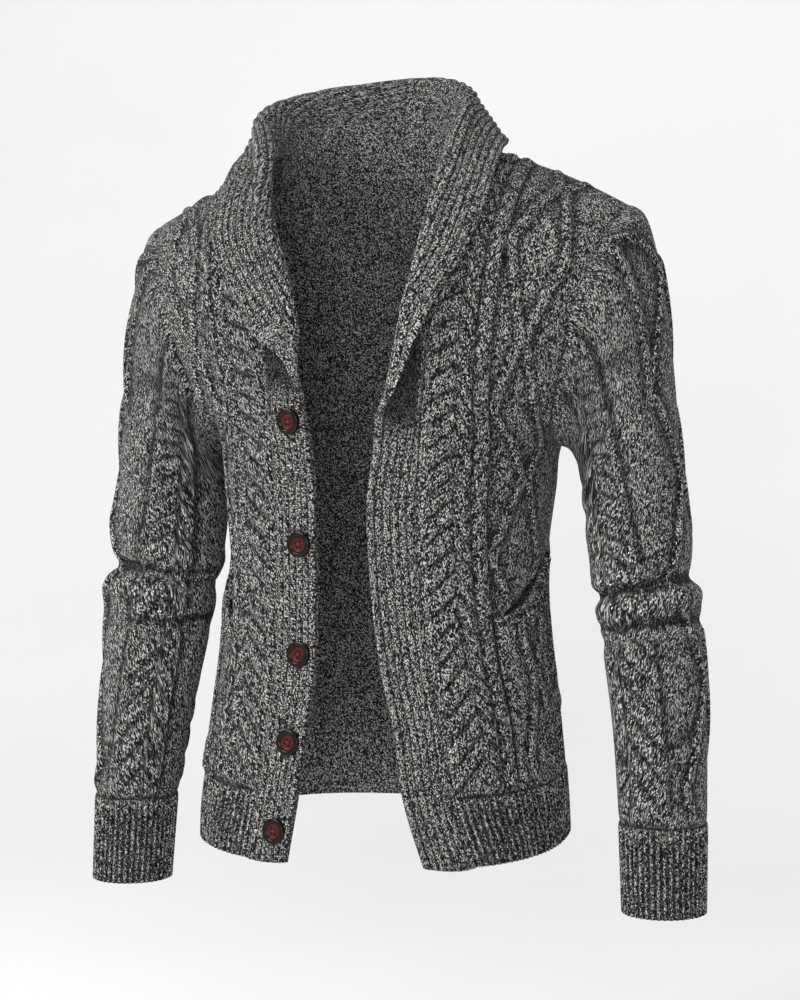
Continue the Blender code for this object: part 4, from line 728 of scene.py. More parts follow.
def wear(made, node, *rests_on):
    """Gives a finished piece its knits, hides the solid that it stands for and hangs it from the root.
    """
    knits, flat, area = CUTS[node.removesuffix("_right").removesuffix("_left")]
    for knit in knits:
        made.data.materials.append(bpy.data.materials[KNITS[knit]])
    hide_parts(node)
    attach(made, "root")


# Body panels -------------------------------------------------------------
def panel_form(sign, face):
    """Middle points of a half panel, its distances from the inner edge and its rows."""
    panel = Panel(sign, face)
    rows = np.linspace(0, BODY_ROWS, PANEL_STEPS + 1)
    grid, runs = [], []
    for row in rows:
        line = panel.line(row)
        width = lengths(line)[-1]
        places = np.concatenate([np.linspace(0, BAND_EDGE, BAND_STEPS, endpoint=False),
                                 np.linspace(BAND_EDGE, width, FIELD_STEPS + 1)])
        grid.append(along(line, places))
        runs.append(places)
    return np.array(grid), np.array(runs), np.repeat(rows[:, None], len(runs[0]), axis=1)


def cable_relief(s, rows, width, start, has_rope=True):
    """Cables and diamonds over a half panel: heights and the knit's places."""
    t = rows * ROW
    height, lean = chevron(s, t, CHEVRON)
    if has_rope:
        more, twist = rope(s, t, ROPE)
        height, lean = np.maximum(height, more), lean + twist
    height = CREST * height
    height = np.maximum(height, LATTICE_RIDGE * lattice(s, rows, start, width - start))
    return height, pair(s, t - 0.45 * lean)


def column_runs(grid):
    """True distance down each column, so that no stitch is stretched."""
    steps = np.linalg.norm(np.diff(grid, axis=0), axis=2)
    return np.concatenate([np.zeros((1, grid.shape[1])), np.cumsum(steps, axis=0)])


def seam_fade(rows, s, width, low=END_FADE, side=0.010):
    """1 inside a panel and 0 at its sewn edges."""
    t = rows * ROW
    top = BODY_ROWS * ROW - t
    return soft(t / low) * soft(top / low) * soft((width - s) / side) * soft(s / 0.004)


def sewn_dip(rows, s, width, inner=True):
    """How far the cloth sinks beside a seam."""
    t = rows * ROW
    gap = np.minimum(np.minimum(t, BODY_ROWS * ROW - t), width - s)
    if inner:
        gap = np.minimum(gap, s)
    return -SEAM_DIP * bell(gap, SEAM_REACH)


def turn_sides(grid, facing, rows, ends):
    """Below the armhole, turns a panel's side edges square to the side seam."""
    low = rows[:, 0] <= SIDE_ROWS
    for at, sign in ends:
        side = unit(np.cross(np.gradient(grid[low, at], axis=0), np.array([0.0, 1.0, 0.0])))
        facing[low, at] = side * np.sign(side[:, :1]) * sign
    return low


def front_panel(side):
    """One front: its form, cables, creases and the hollow behind the pocket's mouth."""
    sign = SIDES[side]
    grid, s, rows = panel_form(sign, "front")
    facing = outward(grid)
    low = turn_sides(grid, facing, rows, [(-1, sign)])
    facing[-1] = square_to(facing[-1], 1)
    width = s[:, -1:]
    height, spots = cable_relief(s, rows, width, BAND_EDGE)
    covered = (s > POCKET_START) & (rows < pocket_top(s, width) + 0.3)
    height = height * seam_fade(rows, s, width) * np.where(covered, 0.15, 1.0)
    height = height + sewn_dip(rows, s, width)
    # Above its mouth the front falls back from the pocket, which gapes.
    above = (rows - pocket_top(s, width)) * ROW
    mouth = (bell(above + 0.002, 0.008) * soft((s - POCKET_START - 0.010) / 0.020)
             * soft((width - s - 0.006) / 0.018))
    push = (creased("front_" + side, s, rows * ROW) - MOUTH_DIP * mouth) * seam_fade(rows, s, width)
    spots[..., 0] *= sign
    spots[..., 1] += column_runs(grid) - rows * ROW
    grid[low, -1, 1] = -SEAM / 2
    grid[-1, :, 1] -= SEAM / 2
    return {"grid": grid + facing * push[..., None], "facing": facing, "relief": height,
            "spots": spots, "rows": rows, "s": s, "push": push}


def back_panel():
    """The back, as one piece from two half panels."""
    parts = {}
    for side, sign in SIDES.items():
        grid, s, rows = panel_form(sign, "back")
        width = s[:, -1:]
        height, spots = cable_relief(s, rows, width, BACK_EDGE, has_rope=False)
        fade = seam_fade(rows, s + 1.0, width + 1.0)
        height = height * fade + sewn_dip(rows, s, width, inner=False)
        spots[..., 0] *= sign
        spots[..., 1] += column_runs(grid) - rows * ROW
        parts[side] = (grid, s * sign, rows, height, spots, fade)
    right, left = parts["right"], parts["left"]
    grid, s, rows, height, spots, fade = (np.concatenate([one[:, :0:-1], two], axis=1)
                                          for one, two in zip(right, left))
    push = creased("back", s, rows * ROW) * fade
    facing = outward(grid)
    low = turn_sides(grid, facing, rows, [(0, -1), (-1, 1)])
    grid[low, 0, 1] = grid[low, -1, 1] = SEAM / 2
    sewn = (grid[-1, :, 0] <= -NECK_X[-1]) | (grid[-1, :, 0] >= NECK_X[1])
    facing[-1, sewn] = square_to(facing[-1, sewn], 1)
    grid[-1, :, 1] += SEAM / 2
    return {"grid": grid + facing * push[..., None], "facing": facing, "relief": height,
            "spots": spots, "rows": rows, "s": s, "push": push}


# Sleeves -----------------------------------------------------------------
def armhole_ring(side, front, back, angles):
    """Middle points of the armhole at a sleeve's angles: over the arm is 0, front 90."""
    high = front["rows"][:, 0] >= SIDE_ROWS
    turn = np.abs(angles)
    points = []
    for part, at, near in ((front, -1, -2), (back, -1, -2) if side == "left" else (back, 0, 1)):
        edge = part["grid"][high, at]
        gone = away_from(edge, part["facing"][high, at], part["grid"][high, near])
        line = (edge + gone * SEAM)[::-1]
        points.append(along(line, lengths(line)[-1] * turn / 180))
    ends = np.clip(np.minimum(turn, 180 - turn) / 4, 0, 1)[:, None] * 0.5 + 0.5
    front_side = (angles >= 0)[:, None]
    own = np.where(front_side, points[0], points[1])
    other = np.where(front_side, points[1], points[0])
    return own * ends + other * (1 - ends)


def sleeve_ring(side, share, angles, hole):
    """Middle points of one ring of the sleeve."""
    sign = SIDES[side]
    get = {name: float(look(SLEEVE[side], name, share, "share")) for name in SLEEVE[side]}
    over = np.array([get["over_x"], get["middle_y"], get["over_z"]])
    under = np.array([get["under_x"], get["middle_y"], get["under_z"]])
    turn = np.radians(angles)
    centre, arm = (over + under) / 2, (over - under) / 2
    push = np.zeros(len(angles))
    folds = FOLDS[side]
    for k in range(len(folds["place"])):
        near = math.exp(-((share - folds["place"][k]) / folds["spread"][k]) ** 2)
        apart = np.abs((angles - folds["middle"][k] + 180) % 360 - 180)
        push += folds["out"][k] * near * np.cos(np.minimum(apart / folds["reach"][k], 1) * np.pi / 2)
    size = np.linalg.norm(arm)
    points = centre + arm * (np.cos(turn) * (size + push) / size)[:, None]
    points[:, 1] -= (get["depth"] + push) * np.sin(turn)
    own = float(np.clip(get["own"], 0, 1))
    if own < 1:
        start = {name: SLEEVE[side][name][0] for name in SLEEVE[side]}
        first = np.array([start["over_x"] + start["under_x"], 2 * start["middle_y"],
                          start["over_z"] + start["under_z"]]) / 2
        points = own * points + (1 - own) * (centre + hole * np.array([sign, 1, 1]) - first)
    points[:, 0] *= sign
    return points


def sleeve_form(side, front, back):
    """Middle points of a sleeve, which starts at the armhole's own edge."""
    angles = np.linspace(-180, 180, SLEEVE_ROUND + 1)
    hole = armhole_ring(side, front, back, angles)
    shares = np.linspace(0, 1, SLEEVE_STEPS + 1)
    grid = np.array([sleeve_ring(side, share, angles, hole) for share in shares])
    grid[:, -1] = grid[:, 0]
    facing = normals(grid[:, :-1], closed=True)
    facing = np.concatenate([facing, facing[:, :1]], axis=1)
    centres = grid[:, :-1].mean(axis=1, keepdims=True)
    if np.sum(facing * (grid - centres)) < 0:
        facing = -facing
    facing[-1] = square_to(facing[-1], 2)
    return grid, facing, angles


def evened(values, reach):
    """Running mean down the rows, so that folds don't drag the knit sideways."""
    long = np.concatenate([values[:1].repeat(reach, axis=0), values, values[-1:].repeat(reach, axis=0)])
    total = np.cumsum(np.concatenate([np.zeros_like(values[:1]), long]), axis=0)
    return (total[2 * reach + 1:] - total[:-2 * reach - 1]) / (2 * reach + 1)


def sleeve_wall(side, front, back):
    """A sleeve: chevron braid, rope, and diamonds on a purl ladder."""
    grid, facing, angles = sleeve_form(side, front, back)
    step = np.linalg.norm(np.diff(grid, axis=1), axis=2)
    run = np.concatenate([np.zeros((len(grid), 1)), np.cumsum(step, axis=1)], axis=1)
    middle = SLEEVE_ROUND // 2
    s = evened(run - run[:, middle:middle + 1], 22)
    length = float(lengths(grid[:, middle])[-1] + lengths(grid[:, 0])[-1]) / 2
    t = np.repeat(np.linspace(0, length, len(grid))[:, None], grid.shape[1], axis=1)
    rows = t / length * SLEEVE_ROWS
    apex = np.stack([np.interp(SLEEVE_APEX, angles, line) for line in s])[:, None]
    height, lean = chevron(np.abs(s) - apex, -t, SLEEVE_CHEVRON)
    height = CREST * height
    # A diamond's ridge zigzags down the outer side; beyond it lies the purl ground.
    wave = np.abs((rows / (LATTICE_ROWS / 2)) % 2 - 1)
    near, far, cord = (np.stack([np.interp(turn, angles, k) for k in s])[:, None]
                       for turn in SLEEVE_DIAMOND)
    off = np.abs(s) - near - (far - near) * wave
    ridge = np.sqrt(np.clip(1 - (off / SLEEVE_RIDGE_HALF) ** 2, 0, 1))
    ground = soft(-off / 0.004)
    ladder = LADDER_RIDGE * ribs(t / length * LADDER_ROWS) * (1 - soft((np.abs(s) - far) / 0.01))
    twist, turned = rope(np.abs(s) - cord, -t, SLEEVE_ROPE)
    upper = 1 - soft((t / length - ROPE_END) / ROPE_SOFT)
    height = np.maximum(height, CREST * 0.8 * twist * upper)
    height = height * (1 - ground) + ground * (ladder - LADDER_SINK)
    height = np.maximum(height, SLEEVE_RIDGE * ridge)
    fade = soft(t / END_FADE) * soft((length - t) / END_FADE)
    gap = np.minimum(t, length - t)
    height = height * fade - SEAM_DIP * bell(gap, SEAM_REACH)
    push = creased("sleeve_" + side, s, t) * fade
    spots = pair(s, -column_runs(grid) - 0.35 * (lean + turned * upper))
    # deep=push darkens the folds' creases with painted shade.
    return wall("knit_sleeve_" + side, grid + facing * push[..., None], facing, height, spots,
                closed=True, deep=push), grid


# Ribbed bands ------------------------------------------------------------
def rib_band(name, grid, facing, width, drops, count, closed=False):
    """Single rib that hangs from a seam: narrow ridges and furrows as wide."""
    s = np.repeat(np.linspace(0, width, grid.shape[1])[None], len(grid), axis=0)
    t = np.repeat(drops[:, None], grid.shape[1], axis=1)
    fade, place = soft((t + 0.001) / 0.006), s / width * count
    ridge = ribs(place, 1.0)
    # deep only darkens: painted shade in the furrows between the ribs.
    return wall("rib_" + name, grid, facing, RIB_HEIGHT * (ridge - 0.33) * fade, pair(s, -t),
                closed=closed, coarse=2, under=RIB_BACK * ribs(place + 0.5) * fade,
                deep=RIB_SHADE * ridge * fade)


def cuff_wall(side, sleeve_grid):
    """The rib tube below a sleeve's last ring."""
    loop = sleeve_grid[-1]
    run = lengths(loop)
    count = int(round(run[-1] / CUFF_PITCH))
    places = np.linspace(0, run[-1], 5 * count + 1)
    start = along(loop, places)
    centre = start[:-1].mean(axis=0)
    drops = np.linspace(SEAM, CUFF_HEIGHT, 30)
    grid = []
    for drop in drops:
        size = np.interp(drop, CUFF_DROPS, CUFF_SIZES)
        ring = centre + (start - centre) * np.array([size, size, 1.0])
        lean = np.array([CUFF_LEAN[0] * SIDES[side], CUFF_LEAN[1], 0.0]) * drop / CUFF_HEIGHT
        grid.append(ring + lean - np.array([0.0, 0.0, drop]))
    grid = np.array(grid)
    facing = unit((grid - grid[:, :-1].mean(axis=1, keepdims=True)) * np.array([1.0, 1.0, 0.0]))
    return rib_band("cuff_" + side, grid, facing, run[-1], drops, count, closed=True)


def hem_form(ends):
    """Middle points of a hem band below one panel or both halves of one."""
    drops = np.linspace(SEAM, HEM_HEIGHT, 26)
    rows = []
    for drop in drops:
        lines = []
        for sign, face, start in ends:
            side = SIDE_OF[sign]
            level = HEM_LEVEL + HEM_HEIGHT - drop
            edge = look(BODY, side, np.array([level]))[0]
            in_front = level - HEM_TILT * BODY["front"][0]
            begin = look(NECKLINE, side, np.array([in_front]))[0] if start else 0.0
            k = np.linspace(0, 1, 200)
            x = begin + (edge - begin) * (1 - (1 - k) ** SIDE_CROWDING)
            lines.append(hem_line(sign, face, x, drop))
        rows.append(lines[0] if len(lines) == 1 else np.concatenate([lines[0][:0:-1], lines[1]]))
    count = int(round(lengths(rows[0])[-1] / RIB_PITCH))
    return np.array([along(line, np.linspace(0, lengths(line)[-1], 5 * count + 1)) for line in rows]), \
        drops, count


def hem_wall(name, ends):
    grid, drops, count = hem_form(ends)
    facing = np.stack([unit(np.cross(np.gradient(row, axis=0), [0.0, 0.0, 1.0])) for row in grid])
    if np.sum(facing * (grid * np.array([1.0, 1.0, 0.0]))) < 0:
        facing = -facing
    sides = [-1] if len(ends) == 1 else [0, -1]
    for at in sides:
        facing[:, at] = unit(facing[:, at] * np.array([1.0, 0.0, 0.0]))
        grid[:, at, 1] = SEAM / 2 if ends[0][1] == "back" else -SEAM / 2
    return rib_band(name, grid, facing, lengths(grid[0])[-1], drops, count), grid, facing


# Collar and bands --------------------------------------------------------
def strip_seam(side, front, back, hem_grid, hem_facing):
    """The neckline seam from the hem's lower edge to the middle back."""
    sign = SIDES[side]
    top = back["grid"][-1]
    middle = (len(top) - 1) // 2
    columns = [k for k in range(len(top))
               if 0 <= sign * (k - middle) and abs(top[k, 0]) < NECK_X[sign] + SEAM]
    columns = columns[::-1] if sign > 0 else columns
    lines = [(hem_grid[::-1, 0], hem_facing[::-1, 0], hem_grid[::-1, 1]),
             (front["grid"][:, 0], front["facing"][:, 0], front["grid"][:, 2]),
             (top[columns], back["facing"][-1][columns], back["grid"][-3][columns])]
    edge = np.concatenate([line[0] for line in lines])
    facing = np.concatenate([line[1] for line in lines])
    away = np.concatenate([away_from(*line) for line in lines])
    for values in (away, facing):
        smoothed(values, 6)
    facing[-1], away[-1] = square_to(facing[-1], 0), square_to(away[-1], 0)
    edge = edge + away * SEAM
    edge[-1, 0] = sign * SEAM / 2
    return edge, facing, away


def collar_section(seam, fold, edge, out, away, turn, curl, over):
    """Cross-section of the strip: seam, stand, rounded fold and fall."""
    up = unit(fold - seam)
    stand_end = fold - up * turn * math.sin(min(curl, math.pi / 2)) - out * turn * over
    middle = stand_end + out * turn
    k = np.linspace(0, 1, 24)[:, None]
    spring = seam + away * max(0.0, np.dot(away, stand_end - seam)) * STAND_SPRING
    stand = (1 - k) ** 2 * seam + 2 * k * (1 - k) * spring + k ** 2 * stand_end
    angle = np.linspace(0, curl, 15)[1:, None]
    roll = middle + turn * (up * np.sin(angle) - out * np.cos(angle))
    fall = roll[-1] + (edge - roll[-1]) * k[1:] * over + out * np.sin(np.pi * k[1:]) * FALL_PUFF * over
    return np.concatenate([stand, roll, fall] if over > 0 else [stand, roll])


def strip_form(side, edge, facing, away):
    """Middle points of the band and collar, station by station."""
    sign = SIDES[side]
    run = lengths(edge)
    z = edge[:, 2]
    low = int(np.argmax(z > BREAK[side] + 0.05))
    start = float(np.interp(BREAK[side], z[:low], run[:low]))
    band = STRIP_STEPS // 5
    places = np.concatenate([np.linspace(0, start, band, endpoint=False),
                             np.linspace(start, run[-1], STRIP_STEPS + 1 - band)])
    seams = along(edge, places)
    outs = unit(along(facing, places, run))
    aways = unit(along(away, places, run))
    guide = COLLAR[side]
    sections, stands = [], []
    for at, seam, out, gone in zip(places, seams, outs, aways):
        share = (at - start) / (run[-1] - start)
        curl = math.pi * ease(share / CURL_END)
        over = ease((share - CURL_END * 0.8) / (FALL_END - CURL_END * 0.8))
        if share < 0:
            x = look(FREE_EDGE, side, seam[2])
            rim = np.array([sign * x, body_y(sign, "front", x, seam[2]) - BAND_SINK, seam[2]])
            fold, turn, curl = rim, BAND_TURN, 0.0
        else:
            get = {name: look(guide, name, share, "share") for name in guide}
            fold = np.array([sign * get["fold_x"], get["fold_y"], get["fold_z"]])
            rim = np.array([sign * get["edge_x"], get["edge_y"], get["edge_z"]])
            turn = float(get["turn"])
            two = along(edge, np.array([max(at - 0.02, 0), min(at + 0.02, run[-1])]))
            across = unit(np.cross(unit(fold - seam), unit(two[1] - two[0])))
            across = across * np.sign(np.sum(across * out))
            blend = min(1.0, share / SQUARED)
            out = unit(out * (1 - blend) + across * blend)
        near = bell(share - LAPEL_START, LAPEL_REACH) if share > 0 else 0.0
        line = collar_section(seam, fold, rim, out, gone, turn, curl, over)
        # Under the beginning of the lapel the stand falls back.
        line[:24] -= out * (STAND_DIP * near * np.sin(np.pi * np.linspace(0, 1, 24)))[:, None]
        sections.append(along(line, lengths(line)[-1] * np.linspace(0, 1, STRIP_ACROSS + 1)))
        stands.append((lengths(line)[23] * ease((share - PLAIN_START) / 0.12),
                       near, lengths(line)[23]))
    grid = np.array(sections)
    turned = normals(grid)
    if np.sum(turned[2, :, 1]) > 0:
        turned = -turned
    smoothed(turned, 14)
    for _ in range(5):
        smoothed(turned.swapaxes(0, 1), 1)
        turned[:, -1] = turned[:, -2]
    turned[-1] = square_to(turned[-1], 0)
    grid[-1, :, 0] = sign * SEAM / 2
    return grid, turned, np.array(stands)


def collar_wall(side, grid, facing, stands):
    """One ribbed strip: front band, stand and folded collar."""
    sign = SIDES[side]
    step = np.linalg.norm(np.diff(grid[:, ::-1], axis=1), axis=2)
    s = np.concatenate([np.zeros((len(grid), 1)), np.cumsum(step, axis=1)], axis=1)[:, ::-1]
    width = s[:, :1]
    t = column_runs(grid)
    fade = soft((width - s) / 0.005)
    # Inside the neck the stand is plain up to a few ribs below its fold.
    plain = soft((stands[:, :1] - 0.016 - (width - s)) / 0.010)
    # Where the lapel begins its edge is tightly rolled, and its ribs lie flat.
    calm = 1 - 0.9 * stands[:, 1:2] * (1 - soft((s - 0.020) / 0.020))
    # Painted shadow on the stand, where it lies deep under the lapel's edge.
    under_lapel = (width - s) / stands[:, 2:]
    # Painted shade in the ribs' furrows, weaker where the lapel's ribs lie flat.
    deep = COLLAR_SHADE * ribs(s / COLLAR_PITCH, 1.2) * calm
    # The painted shadow covers the stand from its seam to just past its fold.
    shade = np.minimum(2.2 * stands[:, 1:2], 1.0)
    shade = shade * soft(under_lapel / 0.15) * soft((1.2 - under_lapel) / 0.2)
    height = COLLAR_RIB * (ribs(s / COLLAR_PITCH) - 0.25) * fade
    under = STAND_RIB * (ribs(s / COLLAR_PITCH + 0.5) - 0.25) * fade * (1 - plain)
    rolled = LAPEL_ROLL * bell(s - 0.003, 0.0035, 4)
    height, under = (height + rolled) * calm, (under + rolled) * calm
    return wall("rib_collar_" + side, grid, facing, height, pair(s * sign, t), coarse=1, under=under,
                deep=deep, plain=plain, shade=shade)


# Pockets -----------------------------------------------------------------
def row_values(values, at):
    """Values of a column between its rows."""
    low = np.clip(at.astype(int), 0, len(values) - 2)
    part = (at - low)[:, None]
    return values[low] * (1 - part) + values[low + 1] * part


def pocket_wall(side, front):
    """A pocket that lies on the front and gapes at its mouth."""
    sign = SIDES[side]
    columns = np.arange(BAND_STEPS, front["grid"].shape[1])
    upright = np.linspace(0, 1, 96)
    line = front["s"][int(POCKET_INNER_ROW / BODY_ROWS * PANEL_STEPS)]
    tops = pocket_top(line[columns], line[-1])
    middle, facing, rows, s = [], [], [], []
    for column, top in zip(columns, tops):
        at = upright * top / BODY_ROWS * PANEL_STEPS
        middle.append(row_values(front["grid"][:, column], at))
        facing.append(unit(row_values(front["facing"][:, column], at)))
        rows.append(upright * top)
        s.append(row_values(front["s"][:, column:column + 1], at)[:, 0])
    middle, facing, rows, s = (np.array(v).swapaxes(0, 1) for v in (middle, facing, rows, s))
    share = np.linspace(0, 1, len(columns))[None]
    up = np.clip((upright[:, None] - 0.5) / 0.5, 0, 1)
    lift = 2 * SEAM + (POCKET_GAPE[side] + 0.0010) * up ** 2 * np.sin(np.pi * share) ** 0.8
    lift[:, -3:] += SEAM * 2
    width = s[:, -1:]
    t = rows * ROW
    from_mouth = (1 - upright[:, None]) * tops[None] * ROW
    height = POCKET_RIDGE * lattice(s, rows + LATTICE_START - 2, POCKET_LATTICE,
                                    (width - POCKET_LATTICE) * 0.9)
    # A ribbed band under the mouth and down the side, then the cast-off edge.
    banded = np.maximum(soft((s - width + 0.036) / 0.004), soft((0.030 - from_mouth) / 0.004))
    height = height * (1 - banded) + banded * POCKET_RIB * ribs(s / POCKET_RIB_PITCH, 1.9)
    height = height * soft((from_mouth - 0.004) / 0.003)
    height = np.maximum(height, POCKET_RIDGE * bell(from_mouth - 0.002, 0.0022, 4))
    edge = np.minimum(np.minimum(t, s - s[:, :1]), width - s)
    height = height * soft(edge / 0.006) - 0.0006 * bell(edge, 0.003)
    return wall("knit_pocket_" + side, middle + facing * (WALL + lift)[..., None], facing, height,
                pair(s * sign, t))


# Buttons -----------------------------------------------------------------
def only(made):
    bpy.ops.object.select_all(action="DESELECT")
    made.select_set(True)
    bpy.context.view_layer.objects.active = made


def pick_faces(made, chosen):
    """In edit mode, selects the faces that chosen accepts."""
    work = bmesh.from_edit_mesh(made.data)
    for face in work.faces:
        face.select_set(bool(chosen(face)))
    bmesh.update_edit_mesh(made.data)


def turned_button():
    """A horn-look button: raised rim, dished middle and four holes."""
    bpy.ops.object.select_all(action="DESELECT")
    bpy.ops.mesh.primitive_cylinder_add(vertices=40, radius=BUTTON_RADIUS, depth=BUTTON_THICK,
                                        location=(0, 0, BUTTON_THICK / 2))
    bpy.ops.object.transform_apply(location=True, rotation=False, scale=False)
    made = bpy.context.active_object
    bpy.ops.object.mode_set(mode="EDIT")
    bpy.ops.mesh.select_mode(type="FACE")
    pick_faces(made, lambda face: face.normal.z > 0.9)
    for inset, rise in BUTTON_STEPS:
        bpy.ops.mesh.inset(thickness=inset, depth=rise)
    pick_faces(made, lambda face: face.normal.z < -0.9)
    bpy.ops.mesh.inset(thickness=BUTTON_FOOT, depth=0.0)
    bpy.ops.object.mode_set(mode="OBJECT")
    soften = made.modifiers.new("Rim", "BEVEL")
    soften.width, soften.segments, soften.limit_method = BUTTON_BEVEL, 3, "ANGLE"
    soften.angle_limit = math.radians(35)
    only(made)
    bpy.ops.object.modifier_apply(modifier=soften.name)
    for k in range(4):
        turn = math.radians(45 + 90 * k)
        bpy.ops.object.select_all(action="DESELECT")
        bpy.ops.mesh.primitive_cylinder_add(
            vertices=14, radius=BUTTON_HOLE, depth=4 * BUTTON_THICK,
            location=(BUTTON_HOLE_RING * math.cos(turn), BUTTON_HOLE_RING * math.sin(turn), 0.0))
        drill = bpy.context.active_object
        cut = made.modifiers.new("Hole", "BOOLEAN")
        cut.operation, cut.object = "DIFFERENCE", drill
        only(made)
        bpy.ops.object.modifier_apply(modifier=cut.name)
        bpy.data.objects.remove(drill)
    for finish in ("polished horn-look resin", "wine-red horn-look resin"):
        made.data.materials.append(bpy.data.materials[finish])
    for face in made.data.polygons:
        x, y, z = face.center
        face.material_index = int(math.hypot(x, y) < BUTTON_DISH and z > BUTTON_THICK * 0.3)
    return made


def tube(points, radius, sides=6):
    """Mesh points and faces of a round cord through points."""
    points = np.array(points)
    run = unit(np.gradient(points, axis=0))
    across = unit(np.cross(run, np.array([0.31, 0.17, 0.93])))
    other = np.cross(run, across)
    turn = np.linspace(0, 2 * np.pi, sides, endpoint=False)
    rings = points[:, None] + radius * (across[:, None] * np.cos(turn)[None, :, None]
                                        + other[:, None] * np.sin(turn)[None, :, None])
    count = len(points)
    faces = [(k * sides + j, k * sides + (j + 1) % sides, (k + 1) * sides + (j + 1) % sides,
              (k + 1) * sides + j) for k in range(count - 1) for j in range(sides)]
    faces += [tuple(range(sides))[::-1], tuple((count - 1) * sides + j for j in range(sides))]
    return rings.reshape(-1, 3), faces


def crossed_thread():
    """Two strands of thread over the button's four holes."""
    mesh = bpy.data.meshes.new("thread")
    points, faces = [], []
    for k in range(2):
        angle = math.radians(45 + 90 * k)
        far = BUTTON_HOLE_RING
        k_run = np.linspace(-1.0, 1.0, 13)
        rise = THREAD_LIE + THREAD_CROSS * k - THREAD_DROP * np.abs(k_run) ** 6
        line = np.stack([far * k_run * math.cos(angle), far * k_run * math.sin(angle), rise], axis=-1)
        made, quads = tube(line, THREAD_RADIUS)
        faces += [tuple(int(q) + len(points) for q in quad) for quad in quads]
        points += made.tolist()
    mesh.from_pydata(points, [], faces)
    mesh.shade_smooth()
    made = bpy.data.objects.new("thread", mesh)
    bpy.context.scene.collection.objects.link(made)
    return made


# Materials ---------------------------------------------------------------
FLECKS = {"twist": 0.22, "stitch": 0.58, "leg": 0.09, "cloud": 0.05}   # shares in a fleck's tone
HOLLOW_DARK = 0.80       # how much a furrow is darkened by painted shade
STITCH_DRIFT = 0.0020    # how far stitches wander from their columns
RIB_PALER = 0.016        # how much sooner the pale tones begin in rib


def linear(code):
    """An sRGB hex value as linear red, green and blue."""
    parts = [int(code[k:k + 2], 16) / 255 for k in (1, 3, 5)]
    return (*(v / 12.92 if v <= 0.04045 else ((v + 0.055) / 1.055) ** 2.4 for v in parts), 1.0)


def add(tree, kind, inputs=(), **settings):
    """Adds a node with its settings; inputs are values, nodes or (node, output)."""
    made = tree.nodes.new("ShaderNode" + kind)
    for name, value in settings.items():
        setattr(made, name, value)
    for name, value in (inputs.items() if isinstance(inputs, dict) else enumerate(inputs)):
        if isinstance(value, bpy.types.Node):
            tree.links.new(value.outputs[0], made.inputs[name])
        elif isinstance(value, tuple) and isinstance(value[0], bpy.types.Node):
            tree.links.new(value[0].outputs[value[1]], made.inputs[name])
        elif value is not None:
            made.inputs[name].default_value = value
    return made


def new_material(name):
    made = bpy.data.materials.new(name)
    made.use_nodes = True
    return made, made.node_tree, made.node_tree.nodes["Principled BSDF"]


